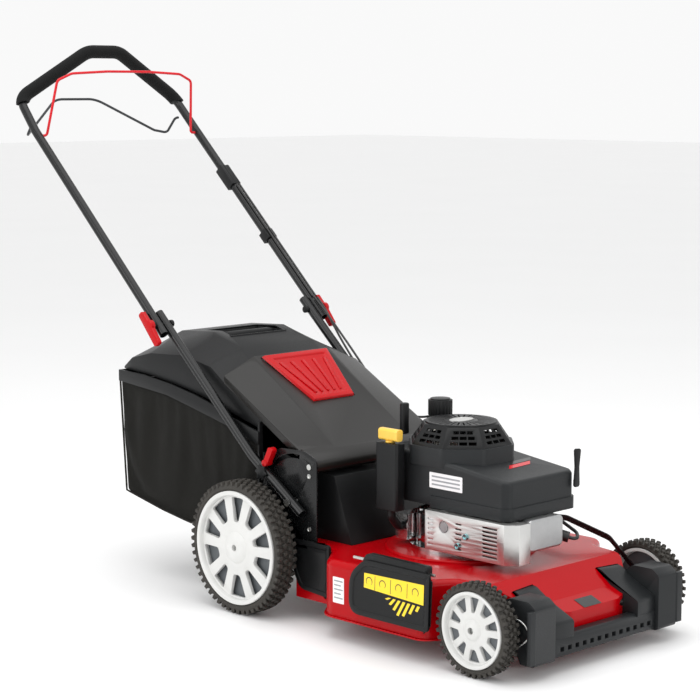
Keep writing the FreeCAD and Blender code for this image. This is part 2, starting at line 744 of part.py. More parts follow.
def make_lower_tubes():
    start = (upper_pivot[0] + 24, upper_pivot[1] + 22)
    points = [(lower_tube_x, *start), (lower_tube_x, 340, 322), (lower_tube_x, 190, 221.7)]
    tube = swept(points, [0, 200, 0], tube_radius)
    tube = tube.cut(swept(points, [0, 200, 0], tube_radius - 1.5))
    tube = tube.cut(rod_x(200, 230, lower_pivot, 4 + running_gap))
    tube = tube.cut(rod_x(200, 230, clamp_point, 4))
    tube = tube.cut(rod_x(200, 230, upper_pivot, 4 + running_gap))
    return pair(tube)


def make_lower_knobs():
    # thin enough to pass inside the rear tyre when the deck is lowered
    bolt = rod_x(198.6, 226, clamp_point, 4)
    star = prism_x(star_outline(clamp_point, 17, 12.5, 6), 225.4, 230.4)
    return pair(bolt.fuse(star))


def star_outline(point, tip, waist, arms):
    outline = []
    for i in range(arms * 4):
        radius = tip if i % 4 in (0, 1) else waist
        angle = 2 * math.pi * i / (arms * 4)
        outline.append((point[0] + radius * math.cos(angle), point[1] + radius * math.sin(angle)))
    return outline


def make_lower_lever(side):
    y, z = 296.0, 314.5
    head = rod((206, y, z), (224, y, z), 7)
    arm = prism_x([(y - 5, z - 6), (y + 7, z - 2), (y - 12, z + 36), (y - 24, z + 30)], 208, 222, [4, 4, 5, 5])
    lever = head.fuse(arm).removeSplitter()
    return lever if side > 0 else mirrored(lever)


def make_upper_lever(side):
    y, z = upper_pivot
    x0, x1 = 253.5, 264.0
    arm = prism_x([(y + 22, z + 30), (y + 34, z + 20), (y - 22, z - 44), (y - 36, z - 34), (y - 12, z - 4)],
                  x0 + 1, x1, [5, 5, 5, 5, 20])
    arm = arm.fuse(rod_x(x0, x1, upper_pivot, 12)).removeSplitter()
    return arm if side > 0 else mirrored(arm)


# Control cables: two 5 mm sheaths side by side on top of the left-hand tubes.
cable_radius = 2.5
cable_x = (upper_tube_x - 4, upper_tube_x + 4)
cable_rise = tube_radius + cable_radius + 1.2


def beside(points, along, offset_x, rise):
    """Moves a y, z line sideways off a tube: rise is measured square to the line."""
    slope = math.atan(along)
    return [(offset_x, y - rise * math.sin(slope), z + rise * math.cos(slope)) for y, z in points]


def make_cable_clips():
    """Fold bolts, the cable adjuster block and the cable clip, all fixed to the upper handle."""
    bolt = rod_x(201.5, 253.2, upper_pivot, 4).fuse(rod_x(247.5, 253.2, upper_pivot, 9))
    bolt = bolt.fuse(rod_x(197, 204.5, upper_pivot, 8))
    pieces = pair(bolt)
    slope = math.degrees(math.atan(0.942))
    for centre, length in ((932, 62), (790, 26)):
        block = box((upper_tube_x - 13, upper_tube_x + 13), (centre - length / 2, centre + length / 2),
                    (upper_line_z(centre) - 12, upper_line_z(centre) + 12))
        block = turned_x(block, (centre, upper_line_z(centre)), slope)
        core = rod((upper_tube_x, 620, upper_line_z(620)), (upper_tube_x, 1040, upper_line_z(1040)),
                   tube_radius)
        block = block.cut(core)
        for x in cable_x:
            hole = beside([(620, upper_line_z(620)), (1040, upper_line_z(1040))], 0.942, x, cable_rise)
            block = block.cut(rod(*hole, cable_radius + 0.1))
        pieces.append(block)
    return pieces


def make_upper_cables():
    line = [(y, upper_line_z(y)) for y in (906, 800, 700, 640)]
    cables = []
    for x in cable_x:
        points = beside(line, 0.942, x, cable_rise)
        cables.append(swept([points[0], points[-1]], [0, 0], cable_radius))
    return cables


brake_cable = [(233, 625, 601.5), (232, 600, 582), (226, 550, 544), (217, 470, 480), (215, 392, 404),
               (214, 335, 368), (213, 270, 362), (206, 205, 378), (172, 142, 394), (118, 104, 388),
               (84, 96, 350), (78, 96, 316)]
drive_cable = [(241, 625, 601.5), (240, 596, 575), (234, 540, 512), (231, 450, 420), (231, 380, 354),
               (227, 350, 308), (222, 330, 262), (212, 312, 228), (194, 303, 200), (170, 299, 180),
               (154, 297.5, 164), (150, 297, 148)]


def make_lower_cables():
    cables = []
    for route in (brake_cable, drive_cable):
        runs = [math.dist(a, b) for a, b in zip(route, route[1:])]
        radii = [0]
        for i in range(1, len(route) - 1):
            back = Vector(*route[i - 1]) - Vector(*route[i])
            ahead = Vector(*route[i + 1]) - Vector(*route[i])
            turn = math.pi - back.getAngle(ahead)
            radii.append(0.45 * min(runs[i - 1], runs[i]) / math.tan(turn / 2))
        radii.append(0)
        cables.append(swept(route, radii, cable_radius))
    return cables


brake_pivot = (1044.0, 975.0)
drive_pivot = (1098.0, 1011.0)


def make_brake_bail():
    half = [(226.5, *brake_pivot), (214, *brake_pivot), (198, 1022, 1100), (160, 1018, 1116), (60, 1016, 1121)]
    points = half + [(-x, y, z) for x, y, z in reversed(half)]
    return swept(points, [0, 8, 14, 30, 60, 60, 30, 14, 8, 0], 3)


def make_drive_bail():
    half = [(220, *drive_pivot), (211, *drive_pivot), (208, 1128, 974), (186, 1150, 980), (60, 1220, 1056)]
    points = half + [(-x, y, z) for x, y, z in reversed(half)]
    return swept(points, [0, 8, 12, 16, 60, 60, 16, 12, 8, 0], 3)


# rear flap ------------------------------------------------------------------------------
def flap_heights(y):
    share = (y - 195) / 257
    return 343 + 169 * share, 335 + 143 * share


def facet(y, half_width, drop, thick):
    centre, side = flap_heights(y)
    centre, side = centre - drop, side - drop
    return [(-half_width, y, side - thick), (-110, y, centre - thick), (110, y, centre - thick),
            (half_width, y, side - thick), (half_width, y, side), (110, y, centre), (-110, y, centre),
            (-half_width, y, side)]


def make_rear_flap():
    panel = section_loft([facet(195, 196, 0, 4), facet(452, 196, 0, 4)])
    barrel = rod_x(-196, 196, flap_pivot, 14)
    bridge = prism_x([(172, 330), (196, 345), (214, 352), (214, 345), (192, 326)], -196, 196)
    skirt = prism_x([(214, 345), (452, 478), (452, 462), (226, 334)], 192, 196)
    flap = panel.fuse([barrel, bridge, skirt, mirrored(skirt)]).removeSplitter()
    flap = flap.cut(rod_x(-200, 200, flap_pivot, 6 + running_gap))
    seat = section_loft([insert_face(-3, 0.2), insert_face(1, 0.2)])
    return flap.cut(seat)


insert_corners = [(-62, 318), (62, 318), (98, 446), (-98, 446)]


def insert_face(rise, grow):
    points = []
    for x, y in insert_corners:
        side = grow if x > 0 else -grow
        end = grow if y > 380 else -grow
        points.append((x + side, y + end, flap_heights(y + end)[0] + rise))
    return points


def make_flap_insert():
    return section_loft([insert_face(-2.5, 0), insert_face(5, -3)])


# grass bag ------------------------------------------------------------------------------
mouth_y = 338.0
rim_low = [(mouth_y, 345), (431, 372), (548, 398), (638, 417), (806, 432)]
rim_high = [(mouth_y, 372), (431, 395), (497, 417), (541, 428), (623, 443), (715, 454), (806, 457)]


def make_bag_frame():
    band = prism_x(rim_low + rim_high[::-1], -202, 202)
    inner_low = [(y, z - 2) for y, z in rim_low[:-1]] + [(801, 429)]
    inner_high = [(y, z + 2) for y, z in rim_high[:-1]] + [(801, 461)]
    inner_low[0] = (mouth_y - 2, 340)
    inner_high[0] = (mouth_y - 2, 376)
    band = band.cut(prism_x(inner_low + inner_high[::-1], -196.5, 196.5))
    mouth = box((-198, 198), (mouth_y, mouth_y + 6), (205, 392))
    mouth = mouth.cut(box((-188, 188), (mouth_y - 1, mouth_y + 7), (215, 384)))
    return band.fuse(mouth).removeSplitter()


def make_bag_fabric():
    start = mouth_y + 6.2
    top = [(start, 346.5)] + [(y, z - 0.3) for y, z in rim_low[1:-1]] + [(806, 431.6)]
    bottom = [(788, 184), (660, 158), (564, 143), (480, 160), (start, 208)]
    outer = prism_x(top + bottom, -198, 198)
    wall = 2.5
    inner_top = [(start - 1, 350), (start + 4, 352)] + [(y, z + 6) for y, z in rim_low[1:-1]]
    inner_top += [(803, 440), (803, 431)]
    inner_bottom = [(785.5, 186.5), (660, 160.5), (564, 145.5), (481, 162.5), (start - 1, 211.2)]
    return outer.cut(prism_x(inner_top + inner_bottom, -198 + wall, 198 - wall))


lid_stations = [
    (mouth_y + 6.3, 375, 401, 426, 188), (455, 404.5, 458, 492, 188), (500, 419.5, 492, 526, 192),
    (592, 438.5, 508, 552, 194), (700, 453.5, 503, 546, 194), (770, 457.5, 486, 514, 192),
    (805, 458.5, 463, 471, 186),
]


def lid_section(station, inset):
    y, low, side, centre, half = station
    half, side, centre = half - inset, side - inset, centre - inset
    crown = 104 - inset
    return [(-half, y, low), (half, y, low), (half, y, side), (crown, y, centre), (-crown, y, centre),
            (-half, y, side)]


def make_bag_lid():
    outer = section_loft([lid_section(s, 0) for s in lid_stations])
    inner = [(y, low - 2, side, centre, half) for y, low, side, centre, half in lid_stations]
    inner[0] = (inner[0][0] - 1, *inner[0][1:])
    inner[-1] = (inner[-1][0] - 3, *inner[-1][1:])
    shell = outer.cut(section_loft([lid_section(s, 3) for s in inner]))
    well = box((-78, 78), (560, 652), (512, 560))
    tray = box((-81, 81), (557, 655), (509, 545)).cut(well)
    shell = shell.cut(well).fuse(tray)
    shell = shell.cut(box((-100, 100), (540, 670), (552, 580)))
    return shell.fuse(rod((-79, 606, 538), (79, 606, 538), 9)).removeSplitter()


# side discharge flap ---------------------------------------------------------------------
def make_discharge_flap():
    length = (-228, -12)
    panel = prism_y([(-275, 180), (-276, 150), (-281.8, 70), (-278.8, 70), (-273, 150), (-270, 180)], *length)
    top = box((-275, -261), length, (176, 182))
    knuckles = [rod((-265, y, 176), (-265, y + 24, 176), 6.5) for y in (-216, -132, -48)]
    flap = panel.fuse([top] + knuckles)
    gaps = [box((-272.5, -255), (-191.6, -132.4), (160, 183)), box((-272.5, -255), (-107.6, -48.4), (160, 183))]
    flap = flap.cut(rod((-265, -240, 176), (-265, 0, 176), 3 + running_gap))
    rib = box((-282.9, -279), (-206, -34), (76, 82))
    return flap.cut(gaps).fuse(rib).removeSplitter()


# everything -----------------------------------------------------------------------------
def build():
    save("deck", make_deck())
    save("front_bumper", make_bumper())
    save("rear_housing", make_rear_housing())
    save("side_plates", make_side_plates())
    save("chassis_fixings", make_fixings())
    save("engine_block", make_engine_block())
    save("engine_cover", make_engine_cover())
    save("starter_cover", make_starter_cover())
    save("muffler", make_muffler())
    save("muffler_guard", make_muffler_guard())
    save("valve_cover", make_valve_cover())
    save("spark_plug", make_spark_plug())
    save("intake", make_intake())
    save("fuel_tank", make_fuel_tank())
    save("fuel_cap", make_fuel_cap())
    save("oil_filler_tube", make_oil_filler())
    save("dipstick", make_dipstick())
    save("choke_lever", make_choke_lever())
    save("starter_grip", make_starter_grip())
    save("crankshaft", make_crankshaft())
    save("flywheel", make_flywheel())
    save("crank_pulley", make_crank_pulley())
    save("blade", make_blade())
    save("drive_belt", make_belt())
    save("gearbox", make_gearbox())
    save("gearbox_pulley", make_gearbox_pulley())
    save("drive_shaft", rod_x(-250, 250, rear_pivot, axle_radius))
    save("rear_axle", make_rear_axle())
    save("height_knob", make_height_knob())
    save("front_axle", make_front_axle())
    save("height_link", make_height_link())
    rear_point = (rear_axle_y, rear_wheel_radius)
    front_point = (front_axle_y, front_wheel_radius)
    rear_tyre = tyre(rear_point, rear_wheel_radius, 119, rear_tyre_width, rear_wheel_face, 36)
    front_tyre = tyre(front_point, front_wheel_radius, 73, front_tyre_width, front_wheel_face, 28)
    rear_rim = make_rear_rim()
    front_rim = rim(front_point, 73, front_tyre_width, front_wheel_face, 7, 22, 10)
    pinion = make_pinion()
    for side, pick in (("left", lambda s: s), ("right", mirrored)):
        save(f"rear_tyre_{side}", pick(rear_tyre))
        save(f"rear_rim_{side}", pick(rear_rim))
        save(f"front_tyre_{side}", pick(front_tyre))
        save(f"front_rim_{side}", pick(front_rim))
        save(f"pinion_{side}", pick(pinion))
    save("upper_handle", make_upper_handle())
    save("handle_grip", make_grip())
    save("cable_clips", make_cable_clips())
    save("upper_cables", make_upper_cables())
    save("lower_handle", make_lower_tubes())
    save("lower_knobs", make_lower_knobs())
    save("lower_cables", make_lower_cables())
    save("brake_bail", make_brake_bail())
    save("drive_bail", make_drive_bail())
    for side, sign in (("left", 1), ("right", -1)):
        save(f"upper_lever_{side}", make_upper_lever(sign))
        save(f"lower_lever_{side}", make_lower_lever(sign))
    save("rear_flap", make_rear_flap())
    save("flap_insert", make_flap_insert())
    save("bag_frame", make_bag_frame())
    save("bag_fabric", make_bag_fabric())
    save("bag_lid", make_bag_lid())
    save("discharge_flap", make_discharge_flap())


build()
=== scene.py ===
import math

import bpy
from mathutils import Matrix, Vector


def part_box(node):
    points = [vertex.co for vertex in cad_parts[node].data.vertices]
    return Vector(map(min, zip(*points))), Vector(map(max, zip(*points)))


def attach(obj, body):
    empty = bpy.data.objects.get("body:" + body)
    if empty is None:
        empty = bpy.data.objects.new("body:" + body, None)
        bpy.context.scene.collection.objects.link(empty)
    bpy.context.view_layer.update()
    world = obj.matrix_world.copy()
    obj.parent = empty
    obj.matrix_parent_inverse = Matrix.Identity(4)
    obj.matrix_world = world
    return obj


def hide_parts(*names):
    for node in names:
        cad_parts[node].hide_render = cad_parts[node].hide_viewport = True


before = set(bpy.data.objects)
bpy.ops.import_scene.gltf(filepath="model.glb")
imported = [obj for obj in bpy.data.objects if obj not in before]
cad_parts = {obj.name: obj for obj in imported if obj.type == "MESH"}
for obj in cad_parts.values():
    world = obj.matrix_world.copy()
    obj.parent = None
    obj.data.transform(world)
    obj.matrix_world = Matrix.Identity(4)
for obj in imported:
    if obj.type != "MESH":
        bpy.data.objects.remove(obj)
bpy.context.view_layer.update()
mm = 0.001
print("stage: frame loaded")


# selecting and finishing, as by hand in the viewport

def deselectAll():
    if bpy.context.object and bpy.context.object.mode != "OBJECT":
        bpy.ops.object.mode_set(mode="OBJECT")
    bpy.ops.object.select_all(action="DESELECT")


def selectOnly(piece):
    deselectAll()
    piece.select_set(True)
    bpy.context.view_layer.objects.active = piece


def pick(piece, kind, wanted):
    # back in edit mode with only the wanted vertices, edges or faces selected
    bpy.ops.object.mode_set(mode="OBJECT")
    parts = {"VERT": piece.data.vertices, "EDGE": piece.data.edges, "FACE": piece.data.polygons}
    for each in parts.values():
        each.foreach_set("select", [False] * len(each))
    for each in parts[kind]:
        each.select = wanted(each)
    bpy.context.tool_settings.mesh_select_mode = (kind == "VERT", kind == "EDGE", kind == "FACE")
    bpy.ops.object.mode_set(mode="EDIT")


def allOf(piece, kind="FACE"):
    pick(piece, kind, lambda part: True)


def bevelEdges(piece, width, segments=2, degrees=32):
    selectOnly(piece)
    bevel = piece.modifiers.new("edges", "BEVEL")
    bevel.width = width
    bevel.segments = segments
    bevel.limit_method = "ANGLE"
    bevel.angle_limit = math.radians(degrees)
    bpy.ops.object.modifier_apply(modifier=bevel.name)


def finishPiece(piece, name, material, body, nodes=(), smooth=35):
    selectOnly(piece)
    bpy.ops.object.transform_apply(location=True, rotation=True, scale=True)
    bpy.ops.object.shade_smooth_by_angle(angle=math.radians(smooth))
    piece.name = name
    piece.data.name = name
    piece.data.materials.clear()
    piece.data.materials.append(material)
    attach(piece, body)
    if nodes:
        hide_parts(*nodes)


def joinAll(pieces):
    deselectAll()
    for piece in pieces:
        piece.select_set(True)
    bpy.context.view_layer.objects.active = pieces[0]
    bpy.ops.object.join()
    return pieces[0]


def copyOf(piece):
    twin = piece.copy()
    twin.data = piece.data.copy()
    bpy.context.scene.collection.objects.link(twin)
    return twin


def ringCopies(piece, count, centre, start=0.0):
    # copies turned about a wheel's axle, which runs along X
    made = []
    for i in range(count):
        twin = copyOf(piece)
        turn = Matrix.Rotation(start + 2 * math.pi * i / count, 4, "X")
        twin.data.transform(Matrix.Translation(centre) @ turn)
        made.append(twin)
    bpy.data.objects.remove(piece)
    return joinAll(made)


def outwards(piece):
    selectOnly(piece)
    allOf(piece)
    bpy.ops.mesh.normals_make_consistent(inside=False)
    bpy.ops.object.mode_set(mode="OBJECT")


def traceFace(points):
    # one vertex walked along the outline, then filled
    deselectAll()
    bpy.ops.mesh.primitive_plane_add(size=mm, location=points[0])
    bpy.context.tool_settings.mesh_select_mode = (True, False, False)
    bpy.ops.object.mode_set(mode="EDIT")
    bpy.ops.mesh.select_all(action="SELECT")
    bpy.ops.mesh.merge(type="CENTER")
    for here, there in zip(points, points[1:]):
        step = Vector(there) - Vector(here)
        bpy.ops.mesh.extrude_region_move(TRANSFORM_OT_translate={"value": step})
    bpy.ops.mesh.select_all(action="SELECT")
    bpy.ops.mesh.edge_face_add()
    bpy.ops.object.mode_set(mode="OBJECT")
    return bpy.context.object


def pullOut(piece, step):
    # the face becomes a solid
    selectOnly(piece)
    allOf(piece)
    bpy.ops.mesh.extrude_region_move(TRANSFORM_OT_translate={"value": step})
    bpy.ops.object.mode_set(mode="OBJECT")
    outwards(piece)
    return piece


def softenedCopy(name, node, width, material, body):
    # the same form as the drawn part, with the rounded edges that moulding and pressing leave
    piece = copyOf(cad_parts[node])
    piece.parent = None
    for tag in list(piece.keys()):
        del piece[tag]
    selectOnly(piece)
    bpy.ops.mesh.customdata_custom_splitnormals_clear()
    allOf(piece)
    bpy.ops.mesh.remove_doubles(threshold=0.02 * mm)
    bpy.ops.mesh.dissolve_limited(angle_limit=math.radians(0.6))
    bpy.ops.object.mode_set(mode="OBJECT")
    bevelEdges(piece, width)
    finishPiece(piece, name, material, body, [node])


# materials

def linear(hexColour):
    channels = [int(hexColour[i:i + 2], 16) / 255 for i in (1, 3, 5)]
    return [c / 12.92 if c <= 0.04045 else ((c + 0.055) / 1.055) ** 2.4 for c in channels] + [1.0]


def addNode(tree, kind, inputs=None, **settings):
    node = tree.nodes.new(kind)
    for key, value in settings.items():
        setattr(node, key, value)
    for key, value in (inputs or {}).items():
        if isinstance(value, bpy.types.NodeSocket):
            tree.links.new(value, node.inputs[key])
        else:
            node.inputs[key].default_value = value
    return node


def startMaterial(name, settings):
    material = bpy.data.materials.new(name)
    material.use_nodes = True
    surface = material.node_tree.nodes["Principled BSDF"]
    for key, value in settings.items():
        surface.inputs[key].default_value = value
    return material


def perMetre(millimetres):
    return 1 / (millimetres * mm)


def finishSurface(material, tones, cloud, grain, depth, gloss, stretch=(1, 1, 1)):
    # tones: the two hex colours that clouds of the given size (mm) mix; grain and depth (mm) are
    # the relief; gloss is the lowest and highest roughness
    tree = material.node_tree
    surface = tree.nodes["Principled BSDF"]
    place = addNode(tree, "ShaderNodeTexCoord").outputs["Object"]
    aligned = addNode(tree, "ShaderNodeMapping", {"Vector": place, "Scale": stretch}).outputs["Vector"]
    clouds = addNode(tree, "ShaderNodeTexNoise", {"Vector": place, "Scale": perMetre(cloud), "Detail": 5.0})
    tint = addNode(tree, "ShaderNodeMix",
                   {0: clouds.outputs["Fac"], 6: linear(tones[0]), 7: linear(tones[1])}, data_type="RGBA")
    fine = addNode(tree, "ShaderNodeTexNoise", {"Vector": aligned, "Scale": perMetre(grain), "Detail": 3.0})
    shine = addNode(tree, "ShaderNodeMapRange",
                    {"Value": fine.outputs["Fac"], "From Min": 0.3, "From Max": 0.7,
                     "To Min": gloss[0], "To Max": gloss[1]})
    relief = addNode(tree, "ShaderNodeBump", {"Height": fine.outputs["Fac"], "Distance": depth * mm,
                                              "Strength": 1.0})
    tree.links.new(tint.outputs[2], surface.inputs["Base Color"])
    tree.links.new(shine.outputs["Result"], surface.inputs["Roughness"])
    tree.links.new(relief.outputs["Normal"], surface.inputs["Normal"])
    return material


def redPowderCoat():
    # thick gloss red over pressed steel: sharp highlights with a slight orange peel
    made = startMaterial("redPowderCoat",
                         {"Specular IOR Level": 0.12, "Coat Weight": 0.1, "Coat Roughness": 0.04})
    return finishSurface(made, ("#a80008", "#b4000b"), 180, 9, 0.012, (0.2, 0.26))


def blackPowderCoat():
    # gloss black on the handle's steel tube
    made = startMaterial("blackPowderCoat",
                         {"Specular IOR Level": 0.3, "Coat Weight": 0.15, "Coat Roughness": 0.08})
    return finishSurface(made, ("#0b0c0d", "#111213"), 90, 4, 0.02, (0.22, 0.34))


def blackPolypropylene():
    # moulded black plastic with a fine spark-eroded grain, drawn at 2 mm so that it shows
    made = startMaterial("blackPolypropylene", {"Specular IOR Level": 0.25})
    return finishSurface(made, ("#0f1011", "#161718"), 70, 2, 0.04, (0.34, 0.46))


def greyPolypropylene():
    # charcoal moulded plastic, satin, slightly lighter where it has rubbed
    made = startMaterial("greyPolypropylene", {"Specular IOR Level": 0.28})
    return finishSurface(made, ("#1c1e1f", "#242628"), 80, 2, 0.04, (0.36, 0.48))


def flapPolypropylene():
    # the flap's softer, warmer charcoal with a satin skin
    made = startMaterial("flapPolypropylene",
                         {"Specular IOR Level": 0.3, "Coat Weight": 0.12, "Coat Roughness": 0.2})
    return finishSurface(made, ("#12110f", "#191715"), 90, 2, 0.03, (0.3, 0.4))


def redAbs():
    # glossy injection-moulded red ABS
    made = startMaterial("redAbs", {"Specular IOR Level": 0.15, "Coat Weight": 0.15, "Coat Roughness": 0.05})
    return finishSurface(made, ("#b0060e", "#bc0a12"), 60, 5, 0.01, (0.2, 0.28))


def wheelNylon():
    # pale grey glass-filled nylon, matt, faintly cloudy from the mould
    made = startMaterial("wheelNylon", {"IOR": 1.53})
    return finishSurface(made, ("#cfcfcc", "#dcdcda"), 40, 2, 0.05, (0.42, 0.55))


def tyreRubber():
    # black rubber with a dusty brown bloom on its blocks
    made = startMaterial("tyreRubber", {"IOR": 1.52})
    return finishSurface(made, ("#24221f", "#3a3630"), 22, 1.5, 0.12, (0.62, 0.8))


def foamRubber():
    # closed-cell foam sleeve: matt, with pores drawn at 1.6 mm
    made = startMaterial("foamRubber",
                         {"Specular IOR Level": 0.2, "Sheen Weight": 0.04, "Sheen Roughness": 0.5})
    return finishSurface(made, ("#0c0d0d", "#131414"), 30, 1.6, 0.2, (0.8, 0.92))


def castAluminium():
    # die-cast aluminium with a dull, slightly rough skin
    made = startMaterial("castAluminium", {"Metallic": 1.0})
    return finishSurface(made, ("#a9aaab", "#c3c4c4"), 25, 2.2, 0.03, (0.34, 0.48))


def pressedAluminium():
    # bright rolled sheet, drawn along its length
    made = startMaterial("pressedAluminium", {"Metallic": 1.0})
    return finishSurface(made, ("#cfcfcd", "#dededc"), 60, 3, 0.006, (0.3, 0.42), (1, 0.15, 1))


def polishedCylinder():
    # machined and polished cylinder skirt: mirrors the deck
    made = startMaterial("polishedCylinder", {"Metallic": 1.0})
    return finishSurface(made, ("#c9c9ca", "#dcdcdc"), 50, 6, 0.004, (0.1, 0.18))


def zincPlate():
    # bright zinc over steel with a faint blue-yellow cast
    made = startMaterial("zincPlate", {"Metallic": 1.0})
    return finishSurface(made, ("#b9bcc0", "#d0cfc6"), 12, 2, 0.02, (0.22, 0.34))


def turnedSteel():
    # bare machined steel with a film of oil
    made = startMaterial("turnedSteel", {"Metallic": 1.0})
    return finishSurface(made, ("#8f8f8e", "#a6a6a4"), 15, 2, 0.03, (0.25, 0.4))


def yellowPolyamide():
    # dipstick handle in warm translucent yellow nylon
    made = startMaterial("yellowPolyamide",
                         {"IOR": 1.53, "Subsurface Weight": 0.15,
                          "Subsurface Radius": (0.004, 0.003, 0.001)})
    return finishSurface(made, ("#f0bd3c", "#f7cf5e"), 20, 3, 0.03, (0.3, 0.4))


def redEnamel():
    # bright enamel on the bail's wire
    made = startMaterial("redEnamel", {"Specular IOR Level": 0.2, "Coat Weight": 0.2, "Coat Roughness": 0.06})
    return finishSurface(made, ("#c4101c", "#d61a26"), 40, 3, 0.02, (0.24, 0.32))


def greyEnamel():
    # dark grey enamel on the drive bail's wire
    made = startMaterial("greyEnamel", {"Specular IOR Level": 0.3, "Coat Weight": 0.1, "Coat Roughness": 0.1})
    return finishSurface(made, ("#26282a", "#323437"), 40, 3, 0.02, (0.3, 0.4))


def cableSheath():
    # extruded PVC sheath, smooth and slightly waxy
    made = startMaterial("cableSheath", {"IOR": 1.53})
    return finishSurface(made, ("#141414", "#1c1c1c"), 20, 3, 0.02, (0.34, 0.44))


def naturalPolyethylene():
    # milky fuel tank
    made = startMaterial("naturalPolyethylene",
                         {"IOR": 1.51, "Subsurface Weight": 0.3, "Subsurface Radius": (0.01, 0.01, 0.01)})
    return finishSurface(made, ("#d8d6cc", "#e4e2d8"), 30, 3, 0.05, (0.4, 0.5))


def whiteLabel():
    # printed paper-white film
    made = startMaterial("whiteLabel", {"Coat Weight": 0.3, "Coat Roughness": 0.2})
    return finishSurface(made, ("#e9eaec", "#f2f2f3"), 20, 3, 0.01, (0.34, 0.4))


def greyPrint():
    # grey ink on the white film
    made = startMaterial("greyPrint", {})
    return finishSurface(made, ("#8d9094", "#a3a6a9"), 8, 3, 0.01, (0.4, 0.5))


def yellowLabel():
    # vinyl film, strong yellow
    made = startMaterial("yellowLabel", {"Coat Weight": 0.4, "Coat Roughness": 0.15})
    return finishSurface(made, ("#f4d000", "#ffdd08"), 30, 3, 0.01, (0.3, 0.36))


def blackPrint():
    # black ink on the vinyl
    made = startMaterial("blackPrint", {"Coat Weight": 0.3, "Coat Roughness": 0.2})
    return finishSurface(made, ("#0c0c0c", "#151515"), 20, 3, 0.01, (0.3, 0.4))


def duskPlastic():
    # dull mid-grey plastic plate inside the wheel
    made = startMaterial("duskPlastic", {"IOR": 1.5})
    return finishSurface(made, ("#565a5e", "#666a6d"), 40, 3, 0.04, (0.5, 0.6))


def bagPiping():
    # folded tape over the bag's seams, ribbed across
    made = startMaterial("bagPiping", {"Specular IOR Level": 0.2})
    return finishSurface(made, ("#1a1917", "#282622"), 15, 1.8, 0.2, (0.75, 0.85))


def bluePlate():
    # blue-passivated bolt heads
    made = startMaterial("bluePlate", {"Metallic": 1.0})
    return finishSurface(made, ("#6fa6ad", "#9cc3c6"), 5, 2, 0.02, (0.2, 0.3))


def wireMesh():
    # fine steel gauze: squares drawn at 3 mm
    made = startMaterial("wireMesh", {"Metallic": 1.0, "Roughness": 0.4})
    tree = made.node_tree
    surface = tree.nodes["Principled BSDF"]
    place = addNode(tree, "ShaderNodeTexCoord").outputs["Object"]
    squares = addNode(tree, "ShaderNodeTexChecker",
                      {"Vector": place, "Scale": perMetre(3),
                       "Color1": linear("#55585a"), "Color2": linear("#c9cacb")})
    tree.links.new(squares.outputs["Color"], surface.inputs["Base Color"])
    return made


# the panels' UV repeat turns this weave setting into threads about 0.5 mm apart; relief is in mm
bagCloth = {"weave": 2.4, "relief": 0.35, "repeat": (12, 8)}


def wovenPolyester():
    # coated open-weave polyester: dull, slightly brown black, with over-and-under threads
    made = startMaterial("wovenPolyester", {"Specular IOR Level": 0.15, "Sheen Weight": 0.03})
    tree = made.node_tree
    surface = tree.nodes["Principled BSDF"]
    flat = addNode(tree, "ShaderNodeTexCoord").outputs["UV"]
    place = addNode(tree, "ShaderNodeTexCoord").outputs["Object"]
    bands = {"Vector": flat, "Scale": perMetre(bagCloth["weave"]) / 20, "Distortion": 0.4}
    warp = addNode(tree, "ShaderNodeTexWave", bands, bands_direction="X")
    weft = addNode(tree, "ShaderNodeTexWave", bands, bands_direction="Y")
    weave = addNode(tree, "ShaderNodeMath", {0: warp.outputs["Fac"], 1: weft.outputs["Fac"]},
                    operation="MULTIPLY")
    dust = addNode(tree, "ShaderNodeTexNoise", {"Vector": place, "Scale": perMetre(60), "Detail": 6.0})
    tone = addNode(tree, "ShaderNodeMix",
                   {0: weave.outputs[0], 6: linear("#11110f"), 7: linear("#262521")}, data_type="RGBA")
    worn = addNode(tree, "ShaderNodeMix",
                   {0: dust.outputs["Fac"], 6: tone.outputs[2], 7: linear("#1d1c19")}, data_type="RGBA")
    relief = addNode(tree, "ShaderNodeBump",
                     {"Height": weave.outputs[0], "Distance": bagCloth["relief"] * mm})
    tree.links.new(worn.outputs[2], surface.inputs["Base Color"])
    tree.links.new(relief.outputs["Normal"], surface.inputs["Normal"])
    surface.inputs["Roughness"].default_value = 0.85
    return made


skins = {
    "redPowderCoat": redPowderCoat(), "blackPowderCoat": blackPowderCoat(),
    "blackPolypropylene": blackPolypropylene(), "greyPolypropylene": greyPolypropylene(),
    "flapPolypropylene": flapPolypropylene(), "redAbs": redAbs(), "wheelNylon": wheelNylon(),
    "tyreRubber": tyreRubber(), "foamRubber": foamRubber(), "castAluminium": castAluminium(),
    "pressedAluminium": pressedAluminium(), "polishedCylinder": polishedCylinder(),
    "zincPlate": zincPlate(), "turnedSteel": turnedSteel(), "yellowPolyamide": yellowPolyamide(),
    "redEnamel": redEnamel(), "greyEnamel": greyEnamel(), "cableSheath": cableSheath(),
    "naturalPolyethylene": naturalPolyethylene(), "whiteLabel": whiteLabel(), "greyPrint": greyPrint(),
    "yellowLabel": yellowLabel(), "blackPrint": blackPrint(), "duskPlastic": duskPlastic(),
    "bagPiping": bagPiping(), "bluePlate": bluePlate(), "wireMesh": wireMesh(),
    "wovenPolyester": wovenPolyester(),
}
print("stage: materials made")


